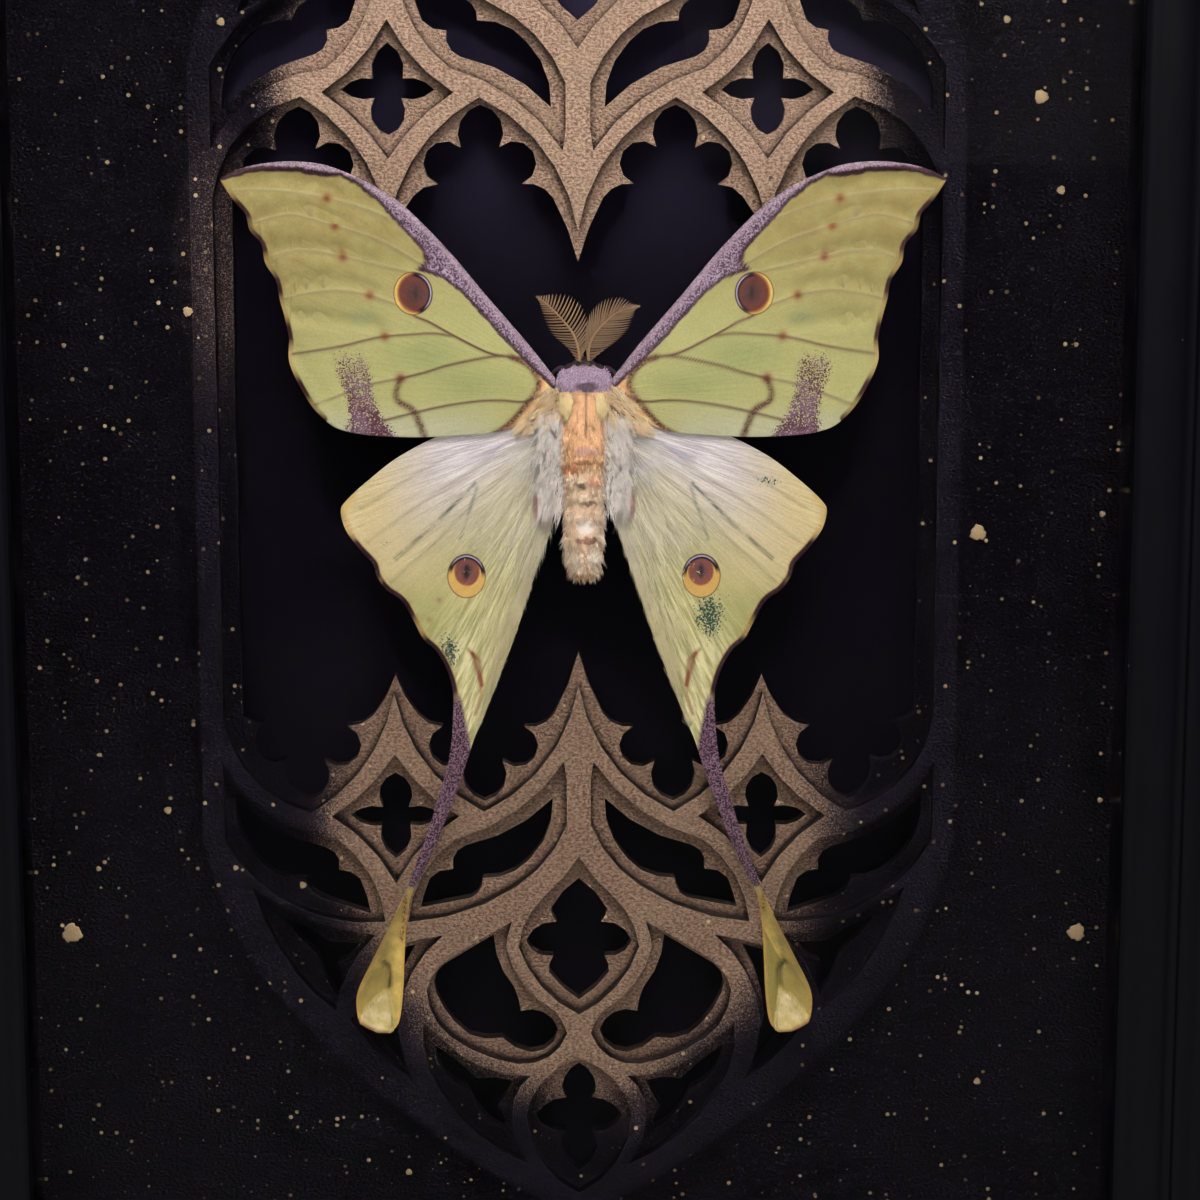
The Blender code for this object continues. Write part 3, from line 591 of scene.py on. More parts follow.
@dataclass(frozen=True)
class SprayedBoard:
    """Cut board sprayed black and then gold from the middle, with flung gold flecks."""

    name: str
    strength: float
    fleck_share: float
    black: str = "060509"
    gold: str = "c6a58d"
    shade_gold: str = "826656"
    shadow_line: float = 0.0

    def build(self) -> bpy.types.Material:
        """The board's material."""
        material, sheet, shader = new_material(self.name, Roughness=0.8, Specular_IOR_Level=0.015)
        place = sheet.own_place()
        spray = sheet.group("gold_spray", {"Place": place, "Strength": self.strength})
        grain = sheet.group("paper_grain", {"Place": place})
        small = sheet.group("flecks", {"Place": place, "Pitch": 700.0, "Size": 0.22, "Share": self.fleck_share})
        medium = sheet.group("flecks", {"Place": place, "Pitch": 260.0, "Size": 0.075, "Share": self.fleck_share * 0.6})
        gold = sheet.mix(grain.outputs["Height"], tint(self.shade_gold), tint(self.gold))
        gold = sheet.mix(sheet.math("MULTIPLY", sheet.step(sheet.noise(place, 9.0), 0.3, 0.75), 0.25), gold, tint("b59a80"))
        height = sheet.node("SeparateXYZ", {0: place}).outputs[2]
        # Painted shade: the gold is painted darker from a height of 0.25 m down to 0.17 m, to about 0.6 of its colour,
        # standing in for less light low in the case.
        gold = sheet.mix(sheet.step(height, 0.25, 0.17), gold, sheet.mix(1.0, gold, (0.61, 0.59, 0.57), "MULTIPLY"))
        black = sheet.mix(grain.outputs["Height"], tint(self.black), sheet.mix(0.35, tint(self.black), tint("1a1620")))
        black = sheet.mix(sheet.math("MULTIPLY", spray.outputs["Cover"], 0.8), black, tint("4a3c42"))
        base = sheet.mix(spray.outputs["Mask"], black, gold)
        dots = sheet.math("MAXIMUM", small.outputs["Mask"], medium.outputs["Mask"])
        base = sheet.mix(dots, base, sheet.mix(small.outputs["Tone"], tint("5b4c3c"), tint("c9ae84")))
        normal = sheet.node("NewGeometry", {}).outputs["Normal"]
        facing = sheet.math("ABSOLUTE", sheet.node("SeparateXYZ", {0: normal}).outputs[1])
        wall = sheet.step(facing, 0.7, 0.4)
        base = sheet.mix(sheet.math("MULTIPLY", wall, 0.85), base, tint("100b12"))
        if self.shadow_line:
            # Painted shade: a dark line on the mat just above a bar, where occlusion finds a bar wall close below.
            below = sheet.node("AmbientOcclusion", {"Distance": 0.0012, "Normal": (0.0, -0.5, -0.866)}, samples=4)
            painted_foot_shade = sheet.math("MULTIPLY", sheet.step(below.outputs["AO"], 0.87, 0.58), sheet.math("SUBTRACT", self.shadow_line, wall, True))
            base = sheet.mix(painted_foot_shade, base, tint("1a121a"))
        # The cut front edges, found by the bevel, are painted lighter: partly a painted highlight where they catch the
        # light, partly worn paint; light gold where sprayed, grey-mauve on black.
        eased = sheet.node("Bevel", {"Radius": 0.0002}, samples=2).outputs[0]
        turn = sheet.vector("DOT_PRODUCT", eased, normal)
        edge_highlight_and_wear = sheet.math("MULTIPLY", sheet.step(turn, 0.985, 0.9), sheet.step(facing, 0.6, 0.9))
        highlight_and_wear_tone = sheet.mix(spray.outputs["Cover"], tint("3a3139"), tint("d3b497"))
        base = sheet.mix(sheet.math("MULTIPLY", edge_highlight_and_wear, 0.55), base, highlight_and_wear_tone)
        sheet.plug(shader.inputs["Base Color"], base)
        metal = sheet.math("MULTIPLY", sheet.math("MAXIMUM", spray.outputs["Mask"], dots), 0.3)
        sheet.plug(shader.inputs["Metallic"], metal)
        sheet.plug(shader.inputs["Roughness"], sheet.math("SUBTRACT", 0.82, sheet.math("MULTIPLY", spray.outputs["Mask"], 0.25)))
        sheet.plug(shader.inputs["Normal"], sheet.bump(grain.outputs["Height"], 0.13, 1.0))
        return material


@dataclass(frozen=True)
class DarkLacquer:
    """Black lacquered wood with faint long grain and dust."""

    name: str = "frame_lacquer"

    def build(self) -> bpy.types.Material:
        """The moulding's material."""
        material, sheet, shader = new_material(self.name, Specular_IOR_Level=0.07)
        place = sheet.own_place()
        grain = sheet.noise(sheet.stretched(place, (1.0, 1.0, 0.06)), 0.9, 4.0, 0.6)
        dust = sheet.group("flecks", {"Place": place, "Pitch": 420.0, "Size": 0.1, "Share": 0.05})
        base = sheet.mix(grain, tint("040407"), tint("0a090e"))
        base = sheet.mix(sheet.math("MULTIPLY", dust.outputs["Mask"], 0.25), base, tint("6f6b70"))
        sheet.plug(shader.inputs["Base Color"], base)
        smear = sheet.noise(place, 14.0, 3.0)
        sheet.plug(shader.inputs["Roughness"], sheet.math("ADD", 0.3, sheet.math("MULTIPLY", smear, 0.22)))
        sheet.plug(shader.inputs["Normal"], sheet.bump(grain, 0.05, 0.4))
        return material


@dataclass(frozen=True)
class GlossStrip:
    """Gloss black spacer strip with a little dust."""

    name: str = "gloss_strip"

    def build(self) -> bpy.types.Material:
        """The spacers' material."""
        material, sheet, shader = new_material(self.name, Specular_IOR_Level=0.1, Coat_Weight=0.05, Coat_Roughness=0.12)
        place = sheet.own_place()
        dust = sheet.group("flecks", {"Place": place, "Pitch": 500.0, "Size": 0.12, "Share": 0.08})
        base = sheet.mix(sheet.math("MULTIPLY", dust.outputs["Mask"], 0.2), tint("060508"), tint("5a5450"))
        sheet.plug(shader.inputs["Base Color"], base)
        wave = sheet.noise(place, 6.0, 2.0)
        sheet.plug(shader.inputs["Roughness"], sheet.math("ADD", 0.12, sheet.math("MULTIPLY", wave, 0.12)))
        sheet.plug(shader.inputs["Normal"], sheet.bump(wave, 0.03, 0.3))
        return material


@dataclass(frozen=True)
class NightBoard:
    """Smooth blue-black background board with faint brushing, specks of dust and painted light towards the top."""

    name: str = "night_board"

    def build(self) -> bpy.types.Material:
        """The background's material."""
        material, sheet, shader = new_material(self.name, Specular_IOR_Level=0.015)
        place = sheet.own_place()
        brushed = sheet.noise(sheet.stretched(place, (1.0, 1.0, 0.12)), 0.5, 3.0, 0.6)
        cloud = sheet.noise(place, 35.0, 3.0)
        height = sheet.node("SeparateXYZ", {0: place}).outputs[2]
        base = sheet.mix(brushed, tint("060409"), tint("0d0a11"))
        # Painted light: the board is painted lighter from a height of 0.2 m up to 0.36 m and above.
        base = sheet.mix(sheet.step(height, 0.2, 0.36), base, sheet.mix(brushed, tint("2a2439"), tint("3f3850")))
        base = sheet.mix(sheet.math("MULTIPLY", sheet.step(cloud, 0.45, 0.8), 0.2), base, tint("1f1822"))
        dust = sheet.group("flecks", {"Place": place, "Pitch": 330.0, "Size": 0.045, "Share": 0.1})
        base = sheet.mix(sheet.math("MULTIPLY", dust.outputs["Mask"], 0.7), base, tint("9a97a0"))
        sheet.plug(shader.inputs["Base Color"], base)
        sheet.plug(shader.inputs["Roughness"], sheet.math("ADD", 0.5, sheet.math("MULTIPLY", brushed, 0.2)))
        sheet.plug(shader.inputs["Normal"], sheet.bump(brushed, 0.03, 0.3))
        return material


@dataclass(frozen=True)
class ClearPane:
    """Low-reflection picture glass."""

    name: str = "clear_pane"

    def build(self) -> bpy.types.Material:
        """The pane's material."""
        material, _, _ = new_material(self.name, Base_Color=(0.985, 0.985, 0.985), Roughness=0.0, IOR=1.06,
                                      Transmission_Weight=1.0)
        return material


@dataclass(frozen=True)
class Fibreboard:
    """Plain brown fibreboard with short fibres."""

    name: str = "fibreboard"

    def build(self) -> bpy.types.Material:
        """The backing's material."""
        material, sheet, shader = new_material(self.name, Specular_IOR_Level=0.25)
        place = sheet.own_place()
        fibres = sheet.noise(sheet.stretched(place, (1.0, 1.0, 0.3), (0.0, 0.4, 0.0)), 0.5, 4.0, 0.7)
        blotch = sheet.noise(place, 18.0, 3.0)
        base = sheet.mix(fibres, tint("6f553a"), tint("a5855d"))
        base = sheet.mix(sheet.math("MULTIPLY", blotch, 0.35), base, tint("5d472f"))
        sheet.plug(shader.inputs["Base Color"], base)
        sheet.plug(shader.inputs["Roughness"], sheet.math("ADD", 0.7, sheet.math("MULTIPLY", fibres, 0.2)))
        sheet.plug(shader.inputs["Normal"], sheet.bump(fibres, 0.12, 0.6))
        return material


@dataclass(frozen=True)
class WornMetal:
    """Bright or plated metal with fine scratches and duller blotches."""

    name: str
    bright: str
    dull: str
    roughness: float

    def build(self) -> bpy.types.Material:
        """The metal's material."""
        material, sheet, shader = new_material(self.name, Metallic=1.0)
        place = sheet.own_place()
        scratch = sheet.noise(sheet.stretched(place, (0.15, 1.0, 1.0)), 0.25, 3.0, 0.7)
        blotch = sheet.noise(place, 2.5, 3.0)
        sheet.plug(shader.inputs["Base Color"], sheet.mix(sheet.step(blotch, 0.35, 0.75), tint(self.bright), tint(self.dull)))
        rough = sheet.math("ADD", self.roughness, sheet.math("MULTIPLY", scratch, 0.2))
        sheet.plug(shader.inputs["Roughness"], rough)
        sheet.plug(shader.inputs["Normal"], sheet.bump(scratch, 0.02, 0.4))
        return material


@dataclass(frozen=True)
class ForewingScales:
    """Yellow-green forewing with a mauve front band, brown veins, an eyespot and a speckled patch."""

    name: str = "forewing_scales"

    def build(self) -> bpy.types.Material:
        """The forewings' material."""
        material, sheet, shader = new_material(self.name, Roughness=0.75, Specular_IOR_Level=0.2,
                                               Sheen_Weight=0.1, Sheen_Roughness=0.5)
        place = sheet.own_place()
        flat = sheet.attribute("flat", "Vector")
        powder = sheet.group("scale_powder", {"Place": place, "Size": 3000.0})
        fine, coarse = powder.outputs["Value"], powder.outputs["Coarse"]
        base = sheet.mix(sheet.attribute("green"), tint("907f4c"), tint("b1ac71"))
        base = sheet.mix(sheet.math("MULTIPLY", sheet.step(coarse, 0.3, 0.8), 0.45), base, tint("aca569"))
        base = sheet.mix(sheet.attribute("pale"), base, tint("bcb99a"))
        base = sheet.mix(sheet.attribute("deep_green"), base, tint("7f8f55"))
        root = sheet.attribute("root")
        base = sheet.mix(root, base, sheet.mix(sheet.step(coarse, 0.35, 0.65), tint("ecd092"), tint("d79f70")))
        base = sheet.mix(sheet.math("MULTIPLY", sheet.attribute("ridge"), 0.5), base, tint("c3b884"))
        base = sheet.mix(sheet.attribute("vein"), base, tint("4f2a20"))
        base = sheet.mix(sheet.attribute("knot"), base, tint("6f3413"))
        speck = sheet.step(fine, 0.4, 0.6)
        dark = sheet.math("MULTIPLY", sheet.attribute("dark_line"), sheet.math("ADD", 0.65, sheet.math("MULTIPLY", speck, 0.35)))
        base = sheet.mix(dark, base, tint("4f211a"))
        patch = sheet.attribute("patch")
        speckle = sheet.noise(place, 0.26, 1.0, 0.5)
        level = sheet.math("SUBTRACT", 0.7, sheet.math("MULTIPLY", patch, 0.34))
        dots = sheet.math("MULTIPLY", sheet.step(speckle, level, sheet.math("ADD", level, 0.1)), sheet.step(patch, 0.02, 0.2))
        base = sheet.mix(dots, base, sheet.mix(sheet.step(coarse, 0.45, 0.6), tint("552c3c"), tint("6f4d62")))
        base = sheet.mix(sheet.math("MULTIPLY", sheet.attribute("teal"), speck), base, tint("5f7f66"))
        mauve = sheet.mix(sheet.step(fine, 0.4, 0.62), tint("503648"), tint("b39bac"))
        mauve = sheet.mix(sheet.math("MULTIPLY", sheet.attribute("band_light"), 0.6), mauve, tint("a78d96"))
        mauve = sheet.mix(sheet.attribute("band_dark"), mauve, sheet.mix(speck, tint("260f17"), tint("452430")))
        spot = sheet.group("eye_spot", {"Flat": flat, "Centre": (29.1, 29.6, 0.0), "Scale": (1 / 3.35, 1 / 3.7, 1.0),
                                        "Toward": (0.985, -0.17, 0.0), "Shift": 0.13, "Iris Size": 0.87,
                                        "Crescent": tint("cfae5e"), "Iris": tint("5d3128"), "Core": tint("4a2e2a")})
        base = sheet.mix(spot.outputs["Mask"], base, spot.outputs["Colour"])
        base = sheet.mix(sheet.attribute("band"), base, mauve)
        margin = sheet.math("MULTIPLY", sheet.step(sheet.attribute("termen"), 0.85, 0.35), 0.7)
        base = sheet.mix(margin, base, tint("b8965a"))
        rim = sheet.step(sheet.attribute("termen"), 0.95, 0.6)
        base = sheet.mix(sheet.math("MULTIPLY", rim, sheet.attribute("rim")), base, tint("371514"))
        base = sheet.mix(1.0, base, sheet.mix(fine, (0.8, 0.8, 0.8), (1.2, 1.2, 1.2)), "MULTIPLY")
        sheet.plug(shader.inputs["Base Color"], base)
        sheet.plug(shader.inputs["Roughness"], sheet.math("ADD", 0.65, sheet.math("MULTIPLY", fine, 0.2)))
        grain = sheet.bump(fine, 0.06, 0.6)
        streak = sheet.noise(sheet.attribute("flow", "Vector"), 1000.0, 3.0, 0.55)
        sheet.plug(shader.inputs["Normal"], sheet.bump(streak, 0.2, 0.5, grain))
        return material


@dataclass(frozen=True)
class HindwingScales:
    """Hindwing: lilac-cream near the body, yellow-green outside, mauve tail and yellow tail end."""

    name: str = "hindwing_scales"

    def build(self) -> bpy.types.Material:
        """The hindwings' material."""
        material, sheet, shader = new_material(self.name, Roughness=0.75, Specular_IOR_Level=0.2,
                                               Sheen_Weight=0.1, Sheen_Roughness=0.5)
        place = sheet.own_place()
        flat = sheet.attribute("flat", "Vector")
        powder = sheet.group("scale_powder", {"Place": place, "Size": 3000.0})
        fine, coarse = powder.outputs["Value"], powder.outputs["Coarse"]
        flow = sheet.attribute("flow", "Vector")
        silk = sheet.noise(flow, 1000.0, 3.0, 0.6)
        strand = sheet.step(silk, 0.38, 0.62)
        base = sheet.mix(sheet.attribute("low"), tint("c8ba9a"), tint("9c9a5a"))
        base = sheet.mix(sheet.attribute("outer"), base, tint("d2bc8c"))
        base = sheet.mix(sheet.math("MULTIPLY", sheet.step(coarse, 0.3, 0.8), 0.3), base, tint("b7b184"))
        base = sheet.mix(sheet.attribute("lilac"), base, sheet.mix(strand, tint("d2c0dc"), tint("fff6ff")))
        cream = sheet.mix(strand, tint("c2b68a"), tint("fbf0d8"))
        cream = sheet.mix(sheet.attribute("low"), cream, sheet.mix(strand, tint("a79e68"), tint("e2d7a4")))
        base = sheet.mix(sheet.attribute("cream"), base, cream)
        base = sheet.mix(sheet.math("MULTIPLY", sheet.attribute("vein"), 0.3), base, tint("857b58"))
        broken = sheet.math("MULTIPLY", sheet.step(silk, 0.3, 0.55), sheet.step(coarse, 0.28, 0.5))
        grey = sheet.math("MULTIPLY", sheet.attribute("grey_line"), broken)
        base = sheet.mix(grey, base, tint("3f473c"))
        base = sheet.mix(sheet.math("MULTIPLY", sheet.attribute("red"), 0.75), base, tint("7a4228"))
        patch = sheet.attribute("patch")
        level = sheet.math("SUBTRACT", 0.76, sheet.math("MULTIPLY", patch, 0.32))
        dots = sheet.math("MULTIPLY", sheet.step(fine, level, sheet.math("ADD", level, 0.05)), sheet.step(patch, 0.02, 0.2))
        base = sheet.mix(dots, base, tint("24423a"))
        spot = sheet.group("eye_spot", {"Flat": flat, "Centre": (20.4, -19.5, 0.0), "Scale": (1 / 3.35, 1 / 3.9, 1.0),
                                        "Toward": (0.1, -0.995, 0.0), "Shift": 0.22, "Iris Size": 0.62,
                                        "Crescent": tint("c69d55"), "Iris": tint("74423a"), "Core": tint("59403f")})
        base = sheet.mix(spot.outputs["Mask"], base, spot.outputs["Colour"])
        edge = sheet.attribute("termen")
        margin = sheet.math("MULTIPLY", sheet.step(edge, 1.6, 0.3), 0.7)
        base = sheet.mix(margin, base, tint("c39c58"))
        rim = sheet.math("MULTIPLY", sheet.step(edge, 1.0, 0.6), sheet.attribute("rim"))
        base = sheet.mix(rim, base, tint("2e1016"))
        mauve = sheet.mix(sheet.step(fine, 0.42, 0.6), tint("260e1c"), tint("80606f"))
        base = sheet.mix(sheet.attribute("tail"), base, mauve)
        golden = sheet.mix(sheet.step(coarse, 0.35, 0.65), tint("a8924e"), tint("cbab5c"))
        spoon = sheet.mix(sheet.attribute("spoon_pale"), golden, sheet.mix(sheet.step(coarse, 0.35, 0.65), tint("b9a468"), tint("d8c596")))
        spoon = sheet.mix(sheet.attribute("olive"), spoon, tint("85763c"))
        # Painted shade: the spoon's hollow is painted dark olive, on top of its real dip.
        spoon = sheet.mix(sheet.math("MULTIPLY", sheet.attribute("hollow"), 0.8), spoon, tint("4b4628"))
        spoon = sheet.mix(sheet.math("MULTIPLY", sheet.step(sheet.attribute("edge"), 0.7, 0.2), 0.6), spoon, tint("ba8c42"))
        spoon = sheet.mix(sheet.math("MULTIPLY", sheet.attribute("stem_red"), sheet.step(fine, 0.4, 0.6)), spoon, tint("5d2c1e"))
        spoon = sheet.mix(sheet.attribute("foot"), spoon, tint("5a2420"))
        base = sheet.mix(sheet.attribute("spoon"), base, spoon)
        base = sheet.mix(1.0, base, sheet.mix(fine, (0.8, 0.8, 0.8), (1.2, 1.2, 1.2)), "MULTIPLY")
        sheet.plug(shader.inputs["Base Color"], base)
        sheet.plug(shader.inputs["Roughness"], sheet.math("ADD", 0.65, sheet.math("MULTIPLY", fine, 0.2)))
        grain = sheet.bump(fine, 0.06, 0.6)
        sheet.plug(shader.inputs["Normal"], sheet.bump(silk, 0.35, 0.7, grain))
        return material


@dataclass(frozen=True)
class HairTone:
    """Hair of two tones, chosen hair by hair, with painted shade making it a little darker towards the root."""

    name: str
    light: str
    dark: str
    stained: bool = False
    lilac: float = 0.0

    def build(self) -> bpy.types.Material:
        """The hair's material; stained hair has a red streak beside the abdomen on each side."""
        material, sheet, shader = new_material(self.name, Roughness=0.7, Specular_IOR_Level=0.25,
                                               Sheen_Weight=0.2, Sheen_Roughness=0.4)
        place = sheet.own_place()
        lock = sheet.noise(place, 0.5, 2.0, 0.6)
        share = sheet.math("ADD", sheet.math("MULTIPLY", sheet.attribute("tone"), 0.8), sheet.math("MULTIPLY", lock, 0.2))
        base = sheet.mix(share, tint(self.dark), tint(self.light))
        if self.stained:
            axes = sheet.node("SeparateXYZ", {0: place})
            across = sheet.math("ABSOLUTE", sheet.math("SUBTRACT", axes.outputs[0], MOTH_X))
            far = sheet.math("DIVIDE", sheet.math("SUBTRACT", across, 0.0084), 0.0005)
            high = sheet.math("DIVIDE", sheet.math("SUBTRACT", axes.outputs[2], CENTRE_Z - 0.0072), 0.0026)
            away = sheet.math("ADD", sheet.math("MULTIPLY", far, far), sheet.math("MULTIPLY", high, high))
            base = sheet.mix(sheet.math("MULTIPLY", sheet.step(away, 1.4, 0.3), 0.6), base, tint("b0504a"))
            lilac = sheet.step(axes.outputs[2], CENTRE_Z - 0.006, CENTRE_Z + 0.004)
            base = sheet.mix(sheet.math("MULTIPLY", lilac, self.lilac), base, tint("faf0ff"))
            low = sheet.step(axes.outputs[2], CENTRE_Z - 0.01, CENTRE_Z - 0.03)
            base = sheet.mix(sheet.math("MULTIPLY", low, 0.7), base, tint("dfce92"))
        # Painted shade: each hair is painted down to about 0.9 of its colour at the root.
        shade = sheet.mix(sheet.step(sheet.attribute("along"), -0.1, 0.5), (0.9, 0.88, 0.86), (1.0, 1.0, 1.0))
        sheet.plug(shader.inputs["Base Color"], sheet.mix(1.0, base, shade, "MULTIPLY"))
        sheet.plug(shader.inputs["Roughness"], sheet.math("ADD", 0.6, sheet.math("MULTIPLY", lock, 0.2)))
        sheet.plug(shader.inputs["Normal"], sheet.bump(lock, 0.05, 0.3, sheet.combed()))
        return material


@dataclass(frozen=True)
class BodyFur:
    """Body fur coloured by place: mauve collar, orange chest, cream abdomen with darker rings and marks."""

    name: str = "body_fur"
    # Each mark: across, height, half width, half height and colour. The last, a thin orange-brown arc at height 0.7
    # where the chest meets the abdomen, is painted shadow under the chest's edge.
    marks: tuple = ((0.3, 2.7, 2.2, 1.1, "cf9d93"), (-0.5, -3.3, 0.9, 0.6, "6b4c40"), (0.7, -6.3, 1.4, 0.5, "5f4034"),
                    (0.4, -12.9, 2.3, 0.6, "7d4433"), (0.3, -10.6, 1.6, 1.4, "fff4e8"), (-1.6, -17.0, 1.3, 2.0, "f6e6cc"),
                    (1.9, -16.0, 1.2, 1.6, "fff2de"), (0.0, -19.6, 2.0, 0.9, "b98f62"), (-2.2, -0.6, 1.8, 0.9, "e0976a"),
                    (2.0, -2.6, 1.6, 1.2, "e8a986"), (0.0, 0.7, 2.2, 0.35, "a8683f"))

    def oval(self, sheet: Sheet, across: Socket, height: Socket, mark: tuple) -> Socket:
        """A soft oval mask about a mark's middle, with its half width and half height."""
        spot = sheet.vector("SUBTRACT", sheet.node("CombineXYZ", {0: across, 2: height}).outputs[0], (mark[0], 0.0, mark[1]))
        spot = sheet.vector("MULTIPLY", spot, (1 / mark[2], 0.0, 1 / mark[3]))
        return sheet.step(sheet.vector("LENGTH", spot), 1.2, 0.6)

    def build(self) -> bpy.types.Material:
        """The body's material."""
        material, sheet, shader = new_material(self.name, Roughness=0.8, Specular_IOR_Level=0.2,
                                               Sheen_Weight=0.2, Sheen_Roughness=0.45)
        place = sheet.own_place()
        local = sheet.vector("SUBTRACT", place, (MOTH_X, 0.0, CENTRE_Z))
        axes = sheet.node("SeparateXYZ", {0: sheet.vector("MULTIPLY", local, (1000.0, 1000.0, 1000.0))})
        across, up = axes.outputs[0], axes.outputs[2]
        wobble = sheet.math("MULTIPLY", sheet.math("SUBTRACT", sheet.noise(place, 1.3, 2.0), 0.5), 1.6)
        height = sheet.math("ADD", up, wobble)
        fine = sheet.noise(place, 0.28, 2.0, 0.6)
        grey = sheet.step(sheet.math("ADD", sheet.math("MULTIPLY", fine, 0.5), sheet.math("MULTIPLY", sheet.attribute("tone"), 0.5)), 0.2, 0.7)
        chest = sheet.mix(grey, tint("cf9468"), tint("ffcf9f"))
        belly = sheet.mix(grey, tint("c99c78"), tint("ffe7c8"))
        base = sheet.mix(sheet.step(height, -2.5, 1.0), belly, chest)
        half = sheet.math("ABSOLUTE", across)
        flank = sheet.math("MULTIPLY", sheet.step(half, 3.0, 4.2), sheet.step(height, 9.5, 6.5))
        base = sheet.mix(sheet.math("MULTIPLY", flank, 0.8), base, tint("f6e6da"))
        seam = sheet.math("MULTIPLY", sheet.step(sheet.math("ABSOLUTE", sheet.math("SUBTRACT", across, 0.35)), 0.35, 0.12),
                          sheet.math("MULTIPLY", sheet.step(height, 4.6, 6.0), sheet.step(height, 13.4, 12.4)))
        base = sheet.mix(sheet.math("MULTIPLY", seam, 0.6), base, tint("6a4232"))
        for mark in self.marks:
            base = sheet.mix(sheet.math("MULTIPLY", self.oval(sheet, across, height, mark), 0.75), base, tint(mark[4]))
        mauve = sheet.mix(grey, tint("62465a"), tint("dcc0d4"))
        collar_mark = self.oval(sheet, across, height, (0.3, 13.9, 2.2, 0.9))
        mauve = sheet.mix(sheet.math("MULTIPLY", collar_mark, 0.8), mauve, tint("3c262a"))
        base = sheet.mix(sheet.step(height, 12.6, 13.2), base, mauve)
        base = sheet.mix(sheet.step(up, 16.9, 17.6), base, tint("33211f"))
        sheet.plug(shader.inputs["Base Color"], base)
        sheet.plug(shader.inputs["Roughness"], sheet.math("ADD", 0.65, sheet.math("MULTIPLY", fine, 0.2)))
        sheet.plug(shader.inputs["Normal"], sheet.bump(fine, 0.1, 0.5, sheet.combed(0.4)))
        return material


# The moth.


@dataclass
class Wing:
    """What both wings share: a closed thin sheet over straight ribs, with values stored on its points."""

    side: Side
    rows: int = 250
    columns: int = 180
    back_columns: int = 13
    plane_mm: float = -6.5
    camber_mm: float = 0.8
    thickness_mm: float = 0.22

    def grid(self, ribs: Array) -> tuple:
        """The wing's flat grid.

        Args:
            ribs: rows of leading edge, trailing edge and turn, in millimetres.

        Returns:
            Flat places, the share from leading to trailing edge, and the turn, each as a grid.
        """
        lines = smooth_line(ribs, self.rows)
        share = np.linspace(0, 1, self.columns)[None, :]
        flat = lines[:, None, 0:2] + (lines[:, None, 2:4] - lines[:, None, 0:2]) * share[..., None]
        return flat, np.broadcast_to(share, flat.shape[:2]), lines[:, 4]

    def closed(self, flat: Array, depth: Array) -> Surface:
        """Closes the front grid with a coarser back and a rim.

        Args:
            flat: flat places of the grid, in millimetres.
            depth: Y of the front at each of them, in millimetres.

        Returns:
            The wing's closed surface, front points first.
        """
        rows, columns = depth.shape
        keep = np.round(np.linspace(0, columns - 1, self.back_columns)).astype(int)
        x = MOTH_X + self.side.value * flat[..., 0] * MM
        z = CENTRE_Z + flat[..., 1] * MM
        front = np.stack([x, depth * MM, z], axis=-1)
        back = front[:, keep] + np.array([0.0, self.thickness_mm * MM, 0.0])
        points = np.vstack([front.reshape(-1, 3), back.reshape(-1, 3)])
        base = rows * columns
        faces = [grid_faces(rows, columns)[:, ::-1], grid_faces(rows, self.back_columns, first=base)]
        row = np.arange(rows - 1)
        lead = np.stack([row * columns, (row + 1) * columns, base + (row + 1) * self.back_columns,
                         base + row * self.back_columns], axis=1)
        end_front, end_back = row * columns + columns - 1, base + row * self.back_columns + self.back_columns - 1
        trail = np.stack([end_front + columns, end_front, end_back, end_back + self.back_columns], axis=1)
        listed = np.vstack(faces + [lead[:, ::-1], trail[:, ::-1]])
        root = list(range(columns)) + list(range(base + self.back_columns - 1, base - 1, -1))
        last = (rows - 1) * columns
        tip = list(range(last + columns - 1, last - 1, -1)) + list(range(base + (rows - 1) * self.back_columns, len(points)))
        if self.side is Side.LEFT:
            listed = listed[:, ::-1]
            root.reverse()
            tip.reverse()
        return Surface(points, listed.tolist() + [root, tip])

    def with_back(self, values: dict) -> dict:
        """Extends values known on the front grid to the back's points."""
        keep = np.round(np.linspace(0, self.columns - 1, self.back_columns)).astype(int)
        extended = {}
        for key, grid in values.items():
            tail = grid[:, keep]
            flat_front = grid.reshape(-1, *grid.shape[2:])
            extended[key] = np.concatenate([flat_front, tail.reshape(-1, *grid.shape[2:])])
        return extended

    def outline(self, flat: Array) -> Array:
        """The grid's outline as one closed line."""
        return np.vstack([flat[:, 0], flat[-1, :], flat[::-1, -1], flat[0, ::-1]])


FOREWING_RIBS = np.array([
    (4.9, 15.0, 4.9, 9.4, 0), (9.6, 21.0, 10.1, 7.6, 0), (16.5, 29.0, 14.3, 5.9, 0), (23.2, 37.0, 20.5, 5.2, 0),
    (30.0, 43.9, 26.3, 4.9, 0), (34.0, 46.8, 32.0, 4.9, 0), (37.0, 48.5, 37.0, 5.2, 0), (39.5, 49.7, 40.5, 5.8, 0),
    (41.5, 50.5, 43.5, 7.0, 0), (43.5, 51.2, 46.5, 10.0, 0), (45.5, 51.6, 48.8, 13.8, 0), (47.3, 51.8, 50.5, 18.0, 0),
    (49.0, 51.9, 50.4, 21.6, 0), (50.6, 51.9, 51.1, 25.5, 0), (52.2, 51.8, 51.9, 28.5, 0), (53.8, 51.6, 52.5, 31.7, 0),
    (55.3, 51.4, 54.3, 34.8, 0), (56.7, 51.1, 54.8, 37.8, 0), (58.0, 50.7, 56.8, 40.3, 0), (59.3, 50.2, 57.3, 42.8, 0),
    (60.5, 49.6, 59.6, 45.5, 0), (61.6, 48.9, 61.4, 48.4, 0)], float)

